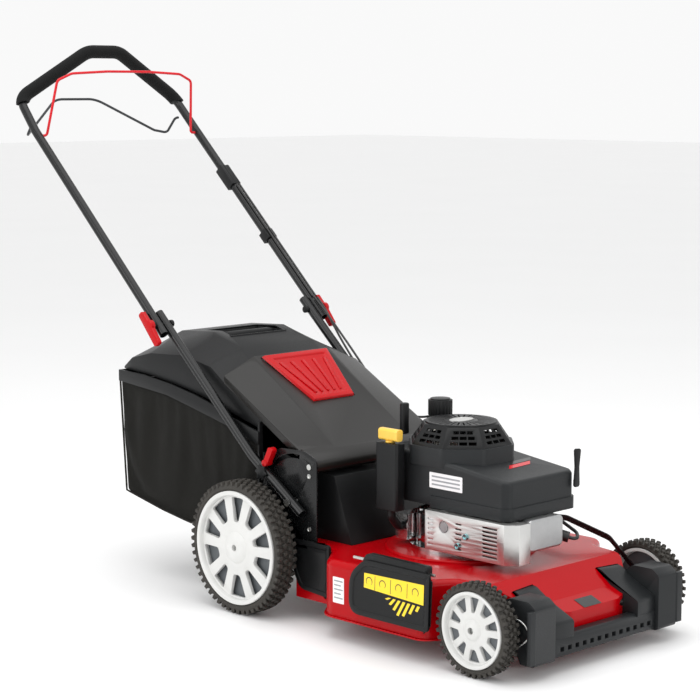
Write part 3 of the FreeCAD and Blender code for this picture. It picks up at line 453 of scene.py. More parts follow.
# the drawn parts keep their shape and get their real finish
nodeSkins = {
    "deck": "redPowderCoat", "front_bumper": "greyPolypropylene", "rear_housing": "blackPolypropylene",
    "side_plates": "blackPowderCoat", "chassis_fixings": "zincPlate", "engine_block": "polishedCylinder",
    "engine_cover": "greyPolypropylene", "starter_cover": "blackPolypropylene", "muffler": "turnedSteel",
    "muffler_guard": "pressedAluminium", "valve_cover": "castAluminium", "spark_plug": "cableSheath",
    "intake": "blackPolypropylene", "fuel_tank": "naturalPolyethylene", "fuel_cap": "blackPolypropylene",
    "oil_filler_tube": "blackPolypropylene", "dipstick": "yellowPolyamide",
    "choke_lever": "blackPolypropylene",
    "starter_grip": "blackPolypropylene", "crankshaft": "turnedSteel", "flywheel": "castAluminium",
    "crank_pulley": "turnedSteel", "blade": "blackPowderCoat", "drive_belt": "tyreRubber",
    "gearbox": "castAluminium", "gearbox_pulley": "zincPlate", "drive_shaft": "turnedSteel",
    "rear_axle": "zincPlate", "height_knob": "blackPolypropylene", "front_axle": "zincPlate",
    "height_link": "blackPowderCoat", "upper_handle": "blackPowderCoat", "handle_grip": "foamRubber",
    "cable_clips": "blackPolypropylene", "upper_cables": "cableSheath", "lower_handle": "blackPowderCoat",
    "lower_knobs": "blackPolypropylene", "lower_cables": "cableSheath", "brake_bail": "redEnamel",
    "drive_bail": "greyEnamel", "rear_flap": "flapPolypropylene", "flap_insert": "redAbs",
    "bag_frame": "blackPolypropylene", "bag_fabric": "wovenPolyester", "bag_lid": "blackPolypropylene",
    "discharge_flap": "blackPolypropylene",
}
for side in ("left", "right"):
    for end in ("rear", "front"):
        nodeSkins[f"{end}_tyre_{side}"] = "tyreRubber"
        nodeSkins[f"{end}_rim_{side}"] = "wheelNylon"
    nodeSkins[f"pinion_{side}"] = "turnedSteel"
    nodeSkins[f"upper_lever_{side}"] = "redAbs"
    nodeSkins[f"lower_lever_{side}"] = "redAbs"
for node, skin in nodeSkins.items():
    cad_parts[node].data.materials.clear()
    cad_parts[node].data.materials.append(skins[skin])
print("stage: finishes on the drawn parts")


# moulded and pressed parts with their edges rounded: node, radius in mm, body, slot
softened = {
    "front_bumper": (3.0, "chassis", "grey_plastic"),
    "rear_housing": (1.0, "chassis", "black_plastic"),
    "side_plates": (0.8, "chassis", "black_steel"),
    "engine_cover": (2.5, "chassis", "grey_plastic"),
    "valve_cover": (1.5, "chassis", "cast_alloy"),
    "muffler_guard": (0.8, "chassis", "pressed_alloy"),
    "intake": (1.5, "chassis", "black_plastic"),
    "oil_filler_tube": (2.0, "chassis", "black_plastic"),
    "fuel_cap": (1.2, "fuel_cap", "black_plastic"),
    "dipstick": (2.5, "dipstick", "yellow_plastic"),
    "choke_lever": (1.2, "choke_lever", "black_plastic"),
    "starter_grip": (3.0, "starter_grip", "black_plastic"),
    "cable_clips": (1.5, "upper_handle", "black_plastic"),
    "lower_knobs": (1.5, "lower_handle", "black_plastic"),
    "rear_flap": (1.5, "rear_flap", "grey_plastic"),
    "bag_frame": (1.2, "grass_bag", "grey_plastic"),
    "bag_lid": (3.0, "grass_bag", "grey_plastic"),
    "starter_cover": (0.7, "chassis", "black_plastic"),
}
for side in ("left", "right"):
    softened[f"upper_lever_{side}"] = (2.0, f"upper_lever_{side}", "red_plastic")
    softened[f"lower_lever_{side}"] = (2.0, f"lower_lever_{side}", "red_plastic")
for node, (radius, body, slot) in softened.items():
    words = node.split("_")
    name = words[0] + "".join(word.capitalize() for word in words[1:]) + "Form"
    softenedCopy(name, node, radius * mm, skins[nodeSkins[node]], body)
print("stage: edges rounded")


# tyres: a rounded carcass and four rows of blocks
tyres = {
    "rear": {"radius": 140, "carcass": 133.5, "bead": 119, "width": 52, "face": 283, "blocks": 54},
    "front": {"radius": 90, "carcass": 84.5, "bead": 73, "width": 40, "face": 273, "blocks": 38},
}
# rows across the tread: offset and width as shares of the tyre's, shift along it in blocks, slant
tread = {"rows": [(-0.375, 0.21, 0.0, 0.06), (-0.125, 0.2, 0.5, -0.1), (0.125, 0.2, 0.0, 0.1),
                  (0.375, 0.21, 0.5, -0.06)],
         "length": 0.56, "root": 2.2, "shoulderDrop": 1.6, "lean": 9, "taper": (0.86, 0.78, 1.0), "edge": 0.7,
         "offFloor": 0.25}


def spinFull(piece, centre, steps):
    # the outline goes once round the axle; its own face is taken out first so that nothing is left inside
    selectOnly(piece)
    allOf(piece)
    bpy.ops.mesh.delete(type="ONLY_FACE")
    allOf(piece, "EDGE")
    bpy.ops.mesh.spin(steps=steps, angle=2 * math.pi, center=centre, axis=(1, 0, 0))
    bpy.ops.mesh.select_all(action="SELECT")
    bpy.ops.mesh.remove_doubles(threshold=0.05 * mm)
    bpy.ops.object.mode_set(mode="OBJECT")
    outwards(piece)


def makeTyre(end, side):
    size = tyres[end]
    low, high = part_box(f"{end}_rim_{side}")
    middle = (low + high) / 2
    sign = 1 if side == "left" else -1
    centre = Vector((0, middle.y, middle.z))
    outer = sign * size["face"] * mm
    inner = sign * (size["face"] - size["width"]) * mm
    bead, crown = size["bead"] * mm, size["carcass"] * mm
    # the section from one bead over the crown to the other, seen along the tread
    section = [(inner + sign * 5 * mm, bead), (inner + sign * 1.5 * mm, bead + 0.35 * (crown - bead)),
               (inner + sign * 2.5 * mm, bead + 0.75 * (crown - bead)), (inner + sign * 7 * mm, crown),
               (outer - sign * 7 * mm, crown), (outer - sign * 2.5 * mm, bead + 0.75 * (crown - bead)),
               (outer - sign * 1.5 * mm, bead + 0.35 * (crown - bead)), (outer - sign * 5 * mm, bead)]
    carcass = traceFace([(x, centre.y, centre.z + r) for x, r in section])
    spinFull(carcass, centre, 96)
    rows = []
    pitch = 2 * math.pi / size["blocks"]
    blockLength = size["radius"] * mm * pitch * tread["length"]
    height = (size["radius"] - size["carcass"]) * mm + tread["root"] * mm
    for offset, share, shift, slant in tread["rows"]:
        shoulder = abs(offset) > 0.2
        drop = (tread["shoulderDrop"] if shoulder else 0.0) * mm
        bpy.ops.mesh.primitive_cube_add(size=1, location=(0, 0, 0))
        block = bpy.context.object
        width = size["width"] * mm * share
        place = (outer + inner) / 2 + sign * size["width"] * mm * offset
        radius = size["radius"] * mm - drop / 2 - height / 2 - tread["offFloor"] * mm
        block.data.transform(Matrix.Diagonal((width, blockLength, height, 1)))
        selectOnly(block)
        pick(block, "FACE", lambda face: face.normal.z > 0.9)
        bpy.ops.transform.resize(value=tread["taper"])
        bpy.ops.object.mode_set(mode="OBJECT")
        if shoulder:
            lean = Matrix.Rotation(math.radians(tread["lean"]) * sign * (1 if offset > 0 else -1), 4, "Y")
            block.data.transform(lean)
        block.data.transform(Matrix.Rotation(slant * 4, 4, "Z"))
        block.data.transform(Matrix.Translation((place, 0, radius)))
        bevelEdges(block, tread["edge"] * mm, 1, 30)
        rows.append(ringCopies(block, size["blocks"], centre, pitch * shift))
    tyre = joinAll([carcass] + rows)
    outwards(tyre)
    finishPiece(tyre, f"{end}Tyre{side.capitalize()}", skins["tyreRubber"], f"{end}_wheel_{side}",
                [f"{end}_tyre_{side}"])


for end in tyres:
    for side in ("left", "right"):
        makeTyre(end, side)
print("stage: tyres")


# rims: a dished wheel turned from one section, then its windows cut, with a dark plate behind
rims = {
    "rear": {"bead": 118.9, "lip": 109, "hub": 36, "face": 283, "width": 49, "windows": 10, "gap": 24},
    "front": {"bead": 72.9, "lip": 65.5, "hub": 22, "face": 273, "width": 37, "windows": 10, "gap": 16},
}
# every other window is wider and starts further out; shares of the pitch, then mm
rimWindow = {"wide": 0.74, "narrow": 0.56, "step": 4, "foot": 0.72, "corner": 5}


def turnedPiece(section, centre, sign, face, steps=96):
    # section: (distance in from the wheel's face, radius) in mm
    piece = traceFace([(sign * (face - depth) * mm, centre.y, centre.z + r * mm) for depth, r in section])
    spinFull(piece, centre, steps)
    return piece


def makeRim(end, side):
    size = rims[end]
    low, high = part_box(f"{end}_rim_{side}")
    centre = Vector((0, (low.y + high.y) / 2, (low.z + high.z) / 2))
    sign = 1 if side == "left" else -1
    bead, lip, hub, width = size["bead"], size["lip"], size["hub"], size["width"]
    plate = lip - 3
    section = [(width, bead), (width, lip + 1), (16, lip - 1), (18, plate), (16, hub), (24, hub - 4), (24, 7),
               (0.6, 7), (0.2, hub * 0.3), (1.4, hub * 0.62), (3.6, hub * 0.82), (6.0, hub * 0.92),
               (5.4, hub + 1), (5.8, hub + 5), (11.5, plate), (10, plate + 1.6), (2.5, lip), (0.2, lip + 2),
               (0.2, bead - 1.2), (1.2, bead)]
    rim = turnedPiece(section, centre, sign, size["face"])
    windows = []
    pitch = 2 * math.pi / size["windows"]
    inner, outer = 0.45 * bead, plate - 1.5
    for i in range(size["windows"]):
        share = rimWindow["wide"] if i % 2 else rimWindow["narrow"]
        reach = inner + (rimWindow["step"] if i % 2 else 0)
        bpy.ops.mesh.primitive_cube_add(size=1, location=(0, 0, 0))
        window = bpy.context.object
        half = pitch * share / 2
        for corner in window.data.vertices:
            top = corner.co.z > 0
            radius = (outer if top else reach) * mm
            wide = radius * math.sin(half) * (1.0 if top else rimWindow["foot"])
            corner.co = Vector((sign * (size["face"] - (0 if corner.co.x > 0 else 40)) * mm,
                                math.copysign(wide, corner.co.y), radius))
        selectOnly(window)
        pick(window, "EDGE", lambda edge: abs(window.data.vertices[edge.vertices[0]].co.x
                                              - window.data.vertices[edge.vertices[1]].co.x) > 20 * mm)
        bpy.ops.mesh.bevel(offset=rimWindow["corner"] * mm * bead / tyres["rear"]["bead"], segments=3,
                           affect="EDGES")
        bpy.ops.object.mode_set(mode="OBJECT")
        window.data.transform(Matrix.Translation(centre) @ Matrix.Rotation(pitch * i, 4, "X"))
        windows.append(window)
    cutter = joinAll(windows)
    outwards(cutter)
    selectOnly(rim)
    cut = rim.modifiers.new("windows", "BOOLEAN")
    cut.operation = "DIFFERENCE"
    cut.object = cutter
    cut.solver = "EXACT"
    bpy.ops.object.modifier_apply(modifier=cut.name)
    bpy.data.objects.remove(cutter)
    bevelEdges(rim, 0.9 * mm, 2, 40)
    finishPiece(rim, f"{end}Rim{side.capitalize()}", skins["wheelNylon"], f"{end}_wheel_{side}",
                [f"{end}_rim_{side}"])
    gap = size["gap"]
    dustPlate = turnedPiece([(gap, lip - 1), (gap + 2, lip - 1), (gap + 2, hub), (gap, hub)], centre, sign,
                            size["face"], 64)
    finishPiece(dustPlate, f"{end}DustPlate{side.capitalize()}", skins["duskPlastic"], f"{end}_wheel_{side}")


for end in rims:
    for side in ("left", "right"):
        makeRim(end, side)
print("stage: rims")


# side discharge cover: raised border, sunk middle, mounting strip with screws, yellow label
cover = {"front": -621.0, "rear": -408.0, "top": 180.0, "bottom": 68.5, "skin": -282.8, "lean": 4.0,
         "thick": 5.0, "border": 10.0, "sink": 2.4, "film": 0.25}


def coverPoint(y, z, sunk=0.0):
    # the outer skin leans in towards its hinge at the top
    share = (z - cover["bottom"]) / (cover["top"] - cover["bottom"])
    return Vector(((cover["skin"] + cover["lean"] * share + sunk) * mm, y * mm, z * mm))


def roundCorners(corners):
    # each corner is (y, z, how far along its edges the rounding starts)
    outline = []
    for i, (y, z, reach) in enumerate(corners):
        here = Vector((y, z))
        start = here + (Vector(corners[i - 1][:2]) - here).normalized() * reach
        end = here + (Vector(corners[(i + 1) % len(corners)][:2]) - here).normalized() * reach
        for step in range(7):
            t = step / 6
            outline.append(start * (1 - t) ** 2 + here * 2 * t * (1 - t) + end * t ** 2)
    return outline


def makeDischargeCover():
    corners = [(cover["rear"], cover["bottom"], 30), (cover["front"], cover["bottom"], 10),
               (cover["front"], cover["top"], 8), (cover["rear"] - 40, cover["top"], 14),
               (cover["rear"], cover["top"] - 34, 24)]
    piece = traceFace([coverPoint(y, z) for y, z in roundCorners(corners)])
    pullOut(piece, (cover["thick"] * mm, 0, 0))
    pick(piece, "FACE", lambda face: face.normal.x < -0.9)
    bpy.ops.mesh.inset(thickness=cover["border"] * mm)
    bpy.ops.mesh.inset(thickness=1.6 * mm, depth=-cover["sink"] * mm)
    bpy.ops.object.mode_set(mode="OBJECT")
    strip = traceFace([Vector((-261 * mm, y * mm, z * mm)) for y, z in roundCorners(
        [(-612, 176, 2), (-612, 192, 5), (-452, 192, 6), (-440, 176, 4)])])
    pullOut(strip, (-15 * mm, 0, 0))
    pieces = [piece, strip]
    for y in (-596, -560, -512, -470):
        bpy.ops.mesh.primitive_cylinder_add(vertices=24, radius=6.4 * mm, depth=22 * mm,
                                            location=(-266 * mm, y * mm, 177 * mm),
                                            rotation=(math.pi / 2, 0, 0))
        pieces.append(bpy.context.object)
    whole = joinAll(pieces)
    bevelEdges(whole, 0.9 * mm, 2, 40)
    finishPiece(whole, "dischargeCover", skins["blackPolypropylene"], "discharge_flap",
                ["discharge_flap"])


def stickOn(name, outline, skin, lift=0.0):
    # thin film lying on the cover's sunk middle
    piece = traceFace([coverPoint(y, z, cover["sink"] - cover["film"] - lift) for y, z in outline])
    pullOut(piece, (0.2 * mm, 0, 0))
    finishPiece(piece, name, skins[skin], "discharge_flap")


def between(start, end, share):
    return (start[0] + (end[0] - start[0]) * share, start[1] + (end[1] - start[1]) * share)


# the yellow label: (y, z) corners, its splits, the stripes below it and the rings on it, in mm
coverPrint = {"label": [(-447, 153.5), (-606, 157), (-606, 118), (-447, 125)], "splits": (-476, -518, -562),
              "stripes": 7, "stripeTop": ((-508, 117), (-606, 113.5)),
              "stripeFoot": ((-500, 117), (-540, 84), (-606, 113.5)),
              "rings": (-461, -497, -540, -584), "ringHeight": 138.5, "ringRadius": 8, "ringWire": 0.9}

makeDischargeCover()
stickOn("coverLabel", coverPrint["label"], "yellowLabel")
for i, y in enumerate(coverPrint["splits"]):
    stickOn(f"coverLabelSplit{i + 1}", [(y, 152), (y - 1.4, 152), (y - 1.4, 124), (y, 124)], "blackPrint",
            0.1)
for i in range(coverPrint["stripes"]):
    share = 0.06 + 0.13 * i
    top = between(*coverPrint["stripeTop"], share)
    start, bend, end = coverPrint["stripeFoot"]
    low = between(start, bend, 2 * share) if share < 0.5 else between(bend, end, 2 * share - 1)
    stickOn(f"coverStripe{i + 1}", [top, (top[0] - 7, top[1] - 0.3), (low[0] - 6, low[1] - 1.5), low],
            "yellowLabel")
# plain flattened rings
for i, y in enumerate(coverPrint["rings"]):
    bpy.ops.mesh.primitive_torus_add(major_segments=32, minor_segments=6,
                                     major_radius=coverPrint["ringRadius"] * mm,
                                     minor_radius=coverPrint["ringWire"] * mm, rotation=(0, math.pi / 2, 0))
    ring = bpy.context.object
    bpy.ops.object.transform_apply(rotation=True)
    ring.data.transform(Matrix.Diagonal((0.25, 1, 1, 1)))
    middle = coverPoint(y, coverPrint["ringHeight"], cover["sink"] - cover["film"])
    ring.data.transform(Matrix.Translation(middle))
    finishPiece(ring, f"coverMark{i + 1}", skins["blackPrint"], "discharge_flap")
print("stage: discharge cover")


# plain film labels on the right-hand walls, with ragged lines of print, in mm
labels = {
    "skirt": {"x": -268.1, "rear": -350, "front": -381, "top": 128, "foot": 76, "film": 0.3, "margin": 3,
              "lines": 5, "firstLine": 122, "pitch": 8.5, "line": 3, "ragged": 5},
    "engine": {"x": -100.1, "rear": -452, "front": -540, "top": 329, "foot": 298, "film": 0.35, "margin": 6,
               "lines": 3, "firstLine": 323, "pitch": 8, "line": 3.4, "ragged": 0},
}


def makeLabel(name, corners, thick, skin):
    piece = traceFace([Vector(corner) * mm for corner in corners])
    pullOut(piece, Vector(thick) * mm)
    pick(piece, "EDGE", lambda edge: (piece.data.vertices[edge.vertices[0]].co
                                      - piece.data.vertices[edge.vertices[1]].co).length < 0.6 * mm)
    bpy.ops.mesh.bevel(offset=1.5 * mm, segments=3, affect="EDGES")
    bpy.ops.object.mode_set(mode="OBJECT")
    finishPiece(piece, name, skins[skin], "chassis")


def onWall(x, rear, front, top, foot):
    return [(x, rear, top), (x, front, top), (x, front, foot), (x, rear, foot)]


def makePrintedLabel(place):
    size = labels[place]
    makeLabel(f"{place}Label", onWall(size["x"], size["rear"], size["front"], size["top"], size["foot"]),
              (-size["film"], 0, 0), "whiteLabel")
    for i in range(size["lines"]):
        top = size["firstLine"] - size["pitch"] * i
        front = size["front"] + size["margin"] + size["ragged"] * (i % 2)
        makeLabel(f"{place}Print{i + 1}", onWall(size["x"] - size["film"], size["rear"] - size["margin"],
                                                 front, top, top - size["line"]),
                  (-0.1, 0, 0), "greyPrint")


for place in labels:
    makePrintedLabel(place)


def coverTop(x, y):
    # the engine cover's roof falls towards the front
    return (x, y, 352.4 + 0.122 * (y + 499.5))


def nose(x, y):
    # the deck's nose slopes down to the bumper
    return (x, y, 100.5 + 0.4 * (y + 799.5))


makeLabel("engineAccent", [coverTop(-18, -588), coverTop(52, -583), coverTop(70, -567), coverTop(2, -572)],
          (0, 0, 0.3), "redEnamel")
makeLabel("engineAccentGround",
          [coverTop(8, -569), coverTop(76, -564), coverTop(92, -549), coverTop(26, -554)],
          (0, 0, 0.3), "blackPrint")
makeLabel("noseBadge", [nose(-30, -792), nose(22, -792), nose(22, -766), nose(-30, -766)],
          (0, 0, 0.5), "blackPrint")
print("stage: labels")


# black mouldings over the deck: trays beside the nose, and inside the rear wheels black plates that are
# painted shadow, the tyres' shadow on the side panels, in mm
traySize = {"x": 157, "width": 60, "edge": 4, "outline": [
    (-822, 66, 4), (-822, 98, 6), (-760, 126, 14), (-722, 150, 14), (-716, 146, 2), (-716, 66, 2)]}
tyreShadowPlateSize = {"x": 207.5, "thick": 7, "rim": 9, "sink": 1.6, "outline": [
    (-282, 60, 8), (-282, 168, 8), (-172, 168, 4), (-172, 108, 14), (-196, 66, 16)]}

for side, sign in (("Right", -1), ("Left", 1)):
    tray = traceFace([Vector((sign * traySize["x"] * mm, y * mm, z * mm))
                      for y, z in roundCorners(traySize["outline"])])
    pullOut(tray, (-sign * traySize["width"] * mm, 0, 0))
    pick(tray, "FACE", lambda face: face.normal.x * sign < -0.9)
    bpy.ops.transform.resize(value=(1, 0.9, 0.96))
    bpy.ops.object.mode_set(mode="OBJECT")
    bevelEdges(tray, traySize["edge"] * mm, 3, 40)
    finishPiece(tray, f"noseTray{side}", skins["greyPolypropylene"], "chassis")
    # painted shadow: a black plate with a rim and a sunk middle, put beside the tyre where the tyre's shadow
    # falls on the side panel
    skirt = traceFace([Vector((sign * tyreShadowPlateSize["x"] * mm, y * mm, z * mm))
                       for y, z in roundCorners(tyreShadowPlateSize["outline"])])
    pullOut(skirt, (sign * tyreShadowPlateSize["thick"] * mm, 0, 0))
    pick(skirt, "FACE", lambda face: face.normal.x * sign > 0.9)
    bpy.ops.mesh.inset(thickness=tyreShadowPlateSize["rim"] * mm)
    bpy.ops.mesh.inset(thickness=1.2 * mm, depth=-tyreShadowPlateSize["sink"] * mm)
    bpy.ops.object.mode_set(mode="OBJECT")
    bevelEdges(skirt, 1 * mm, 2, 40)
    finishPiece(skirt, f"rearSkirt{side}", skins["blackPolypropylene"], "chassis")
print("stage: black mouldings")


# grass bag: four stitched panels of cloth hung from the rim, slackened by a cloth simulation
bag = {"rows": 22, "along": 34, "across": 30, "half": 197.5, "frames": 14, "cap": 9.0, "thick": 1.4,
       "piping": 2.2}
bagHang = {"mass": 0.35, "tension_stiffness": 18, "compression_stiffness": 6, "shear_stiffness": 8,
           "bending_stiffness": 0.6, "shrink_min": -0.025}
# the side's lower and upper edge from the mouth to the back, and its back edge upwards
bagFoot = [(-50.3, 208), (85.5, 160), (169.5, 143.6), (265.5, 158), (393.5, 184)]
bagTop = [(-50.3, 346.5), (36.5, 371.7), (153.5, 397.7), (243.5, 416.7), (411.2, 431.4)]
bagBack = [(z, y) for y, z in (bagFoot[-1], bagTop[-1])]


def alongLine(points, share):
    # a point at that share of the line's length
    runs = [math.dist(a, b) for a, b in zip(points, points[1:])]
    left = share * sum(runs)
    for run, a, b in zip(runs, points, points[1:]):
        if left <= run or b is points[-1]:
            part = min(1.0, left / run)
            return (a[0] + (b[0] - a[0]) * part, a[1] + (b[1] - a[1]) * part)
        left -= run


def footLine(share):
    return alongLine(bagFoot, share)


def heightAt(points, y):
    for a, b in zip(points, points[1:]):
        if y <= b[0] + 0.001:
            return a[1] + (b[1] - a[1]) * (y - a[0]) / (b[0] - a[0])
    return points[-1][1]


def sidePoint(u, v):
    # u runs from the mouth to the back, v from the foot up to the rim
    footY, footZ = footLine(u)
    headY = bagTop[0][0] + (bagTop[-1][0] - bagTop[0][0]) * u
    headZ = heightAt(bagTop, headY)
    return (footY + (headY - footY) * v, footZ + (headZ - footZ) * v)


def bagPanel(columns, rows, placeOf):
    bpy.ops.mesh.primitive_grid_add(x_subdivisions=columns, y_subdivisions=rows, size=1)
    panel = bpy.context.object
    spread = panel.data.uv_layers[0].data
    for point in panel.data.vertices:
        u, v = point.co.x + 0.5, point.co.y + 0.5
        point.co = Vector(placeOf(u, v)) * mm
    for loop in spread:
        loop.uv = (loop.uv[0] * bagCloth["repeat"][0], loop.uv[1] * bagCloth["repeat"][1])
    return panel


def makeBag():
    half = bag["half"]
    left = bagPanel(bag["along"], bag["rows"], lambda u, v: (half, *sidePoint(u, v)))
    right = bagPanel(bag["along"], bag["rows"], lambda u, v: (-half, *sidePoint(u, v)))
    floorPanel = bagPanel(bag["along"], bag["across"], lambda u, v: ((2 * v - 1) * half, *footLine(u)))
    back = bagPanel(bag["across"], bag["rows"], lambda u, v: ((2 * u - 1) * half, *sidePoint(1, v)))
    cloth = joinAll([left, right, floorPanel, back])
    allOf(cloth)
    bpy.ops.mesh.remove_doubles(threshold=0.3 * mm)
    bpy.ops.mesh.normals_make_consistent(inside=False)
    bpy.ops.object.mode_set(mode="OBJECT")
    before = [point.co.copy() for point in cloth.data.vertices]
    held = cloth.vertex_groups.new(name="held")
    for point in cloth.data.vertices:
        y, z = point.co.y / mm, point.co.z / mm
        headZ = heightAt(bagTop, min(max(y, bagTop[0][0]), bagTop[-1][0]))
        atTop = z > headZ - 3
        atMouth = y < bagTop[0][0] + 1.5
        atCorner = abs(abs(point.co.x / mm) - half) < 0.2
        atFoot = z < heightAt(bagFoot, min(y, 393.4)) + 1
        atBack = y > heightAt(bagBack, z) - 1
        weight = 1.0 if atTop or atMouth or (atCorner and (atFoot or atBack)) else 0.0
        held.add([point.index], weight, "REPLACE")
    sim = cloth.modifiers.new("hang", "CLOTH")
    sim.settings.vertex_group_mass = "held"
    for key, value in bagHang.items():
        setattr(sim.settings, key, value)
    sim.collision_settings.use_collision = False
    scene = bpy.context.scene
    for step in range(1, bag["frames"] + 1):
        scene.frame_set(step)
    selectOnly(cloth)
    bpy.ops.object.modifier_apply(modifier=sim.name)
    scene.frame_set(1)
    for point, start in zip(cloth.data.vertices, before):
        shift = point.co - start
        if shift.length > bag["cap"] * mm:
            point.co = start + shift.normalized() * bag["cap"] * mm
    return cloth


def tubeAlong(name, places, radius, bent=False):
    # a round tube through the places, straight between them or as one smooth bend
    curve = bpy.data.curves.new(name, "CURVE")
    curve.dimensions = "3D"
    curve.bevel_depth = radius * mm
    curve.bevel_resolution = 3
    spline = curve.splines.new("NURBS" if bent else "POLY")
    spline.points.add(len(places) - 1)
    for knot, place in zip(spline.points, places):
        knot.co = (*place, 1)
    if bent:
        spline.order_u = 4
        spline.use_endpoint_u = True
    line = bpy.data.objects.new(name, curve)
    bpy.context.scene.collection.objects.link(line)
    selectOnly(line)
    bpy.ops.object.convert(target="MESH")
    return bpy.context.object


def nearestPoint(points, x, y, z):
    place = Vector((x, y, z)) * mm
    return min(points, key=lambda co: (co - place).length)


cloth = makeBag()
for side, sign in (("Left", 1), ("Right", -1)):
    # piping over the side's stitched edges, along the foot and up the back
    knots = [point.co.copy() for point in cloth.data.vertices]
    route = [footLine(i / bag["along"]) for i in range(bag["along"] + 1)]
    route += [sidePoint(1, i / bag["rows"]) for i in range(1, bag["rows"] + 1)]
    seam = [nearestPoint(knots, sign * bag["half"], y, z) for y, z in route]
    pipe = tubeAlong(f"bagPiping{side}", seam, bag["piping"])
    finishPiece(pipe, f"bagPiping{side}", skins["bagPiping"], "grass_bag")
selectOnly(cloth)
wall = cloth.modifiers.new("wall", "SOLIDIFY")
wall.thickness = bag["thick"] * mm
wall.offset = -1
bpy.ops.object.modifier_apply(modifier=wall.name)
smooth = cloth.modifiers.new("smooth", "SUBSURF")
smooth.levels = smooth.render_levels = 1
bpy.ops.object.modifier_apply(modifier=smooth.name)
finishPiece(cloth, "bagCloth", skins["wovenPolyester"], "grass_bag", ["bag_fabric"], 60)
print("stage: grass bag")


# flap's red insert: a sloping frame round a sunk field with ribs
insert = {"ribs": 5, "sink": 3.0, "border": 12, "rib": 7, "halfFoot": 60, "halfHead": 97, "thick": 7.0}


def makeInsert():
    low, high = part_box("flap_insert")
    slope = Vector((0, high.y - low.y, (high.z - low.z) * 0.99)).normalized()
    normal = Vector((0, -slope.z, slope.y))
    base = Vector((0, low.y, low.z))
    length = (high.y - low.y) / slope.y
    narrow, wide = insert["halfFoot"] * mm, insert["halfHead"] * mm

    def on(x, run, rise):
        return base + slope * run + normal * rise + Vector((x, 0, 0))

    top = insert["thick"] * mm
    outline = [on(-narrow, 1 * mm, 0), on(narrow, 1 * mm, 0),
               on(wide, length - 2 * mm, 0), on(-wide, length - 2 * mm, 0)]
    piece = traceFace(outline)
    pullOut(piece, normal * top)
    pick(piece, "FACE", lambda face: face.normal.dot(normal) > 0.9)
    bpy.ops.transform.resize(value=(0.955, 0.97, 0.97), center_override=on(0, length / 2, top))
    bpy.ops.mesh.inset(thickness=insert["border"] * mm)
    bpy.ops.mesh.inset(thickness=2.2 * mm, depth=-insert["sink"] * mm)
    bpy.ops.object.mode_set(mode="OBJECT")
    bevelEdges(piece, 1.6 * mm, 3, 30)
    ribs = []
    for i in range(insert["ribs"]):
        spread = (i - (insert["ribs"] - 1) / 2) / ((insert["ribs"] - 1) / 2)
        lowX, highX = spread * (narrow - 24 * mm), spread * (wide - 32 * mm)
        start, end = 24 * mm, length - 30 * mm
        wide0, wide1 = insert["rib"] * 0.42 * mm, insert["rib"] * 0.62 * mm
        rise = top - insert["sink"] * mm - 0.2 * mm
        rib = traceFace([on(lowX - wide0, start, rise), on(lowX + wide0, start, rise),
                         on(highX + wide1, end, rise), on(highX - wide1, end, rise)])
        pullOut(rib, normal * 2.6 * mm)
        bevelEdges(rib, 1.5 * mm, 3, 30)
        ribs.append(rib)
    whole = joinAll([piece] + ribs)
    finishPiece(whole, "flapInsert", skins["redAbs"], "rear_flap", ["flap_insert"])


makeInsert()
print("stage: flap insert")


# small fittings
def dishedDisc(radius, height, steps, sides=64):
    # each step on the top face is (how far in, how far up) in mm
    bpy.ops.mesh.primitive_cylinder_add(vertices=sides, radius=radius * mm, depth=height * mm)
    disc = bpy.context.object
    selectOnly(disc)
    pick(disc, "FACE", lambda face: face.normal.z > 0.9)
    for inset, rise in steps:
        bpy.ops.mesh.inset(thickness=inset * mm, depth=rise * mm)
    bpy.ops.object.mode_set(mode="OBJECT")
    return disc


def makeScrew(name, place, direction, radius, height, skin, body):
    screw = dishedDisc(radius, height, [(radius * 0.3, 0), (radius * 0.12, -0.45 * height)], 28)
    bevelEdges(screw, 0.35 * mm, 2, 35)
    turn = Vector(direction).to_track_quat("Z", "Y").to_matrix().to_4x4()
    screw.data.transform(Matrix.Translation(Vector(place) * mm) @ turn)
    finishPiece(screw, name, skins[skin], body)


for i, (y, z) in enumerate(((-566, 218), (-545, 196))):
    makeScrew(f"guardBolt{i + 1}", (-119.5, y, z), (-1, 0, 0), 6.2, 4, "bluePlate", "chassis")
for i, (y, z) in enumerate(((-214, 300), (-120, 190), (-160, 150), (-214, 190))):
    makeScrew(f"plateScrewRight{i + 1}", (-204, y, z), (-1, 0, 0), 5, 3, "zincPlate", "chassis")
    makeScrew(f"plateScrewLeft{i + 1}", (204, y, z), (1, 0, 0), 5, 3, "zincPlate", "chassis")
for i, y in enumerate((-588, -470)):
    makeScrew(f"coverScrew{i + 1}", (-268, y, 190.4), (0, 0, 1), 3.6, 1.8, "zincPlate", "discharge_flap")

# gauze disc in the muffler guard
screenSize = {"radius": 11.5, "thick": 1.2, "place": (-118.2, -506.5, 228)}
screen = dishedDisc(screenSize["radius"], screenSize["thick"], [(1.6, 0), (0.6, -0.7)])
screen.data.transform(Matrix.Translation(Vector(screenSize["place"]) * mm)
                      @ Matrix.Rotation(-math.pi / 2, 4, "Y"))
finishPiece(screen, "sparkScreen", skins["wireMesh"], "chassis")

# plain oval plate on top of the starter cover
plateSize = {"radius": 30, "thick": 1.6, "oval": 0.62, "place": (0, -444.5, 421.2)}
plate = dishedDisc(plateSize["radius"], plateSize["thick"], [(2.4, 0.5), (1.2, -0.6)])
plate.data.transform(Matrix.Translation(Vector(plateSize["place"]) * mm)
                     @ Matrix.Diagonal((1.0, plateSize["oval"], 1, 1)))
finishPiece(plate, "starterPlate", skins["pressedAluminium"], "chassis")

# bent wire guard beside each front arm: its route in (y, z), mm
wire = {"radius": 1.5, "x": 229.5, "route": [(-775, 117), (-790, 120), (-806, 117), (-818, 109), (-824, 98),
                                             (-823, 88), (-815, 79), (-800, 68), (-784, 60)]}


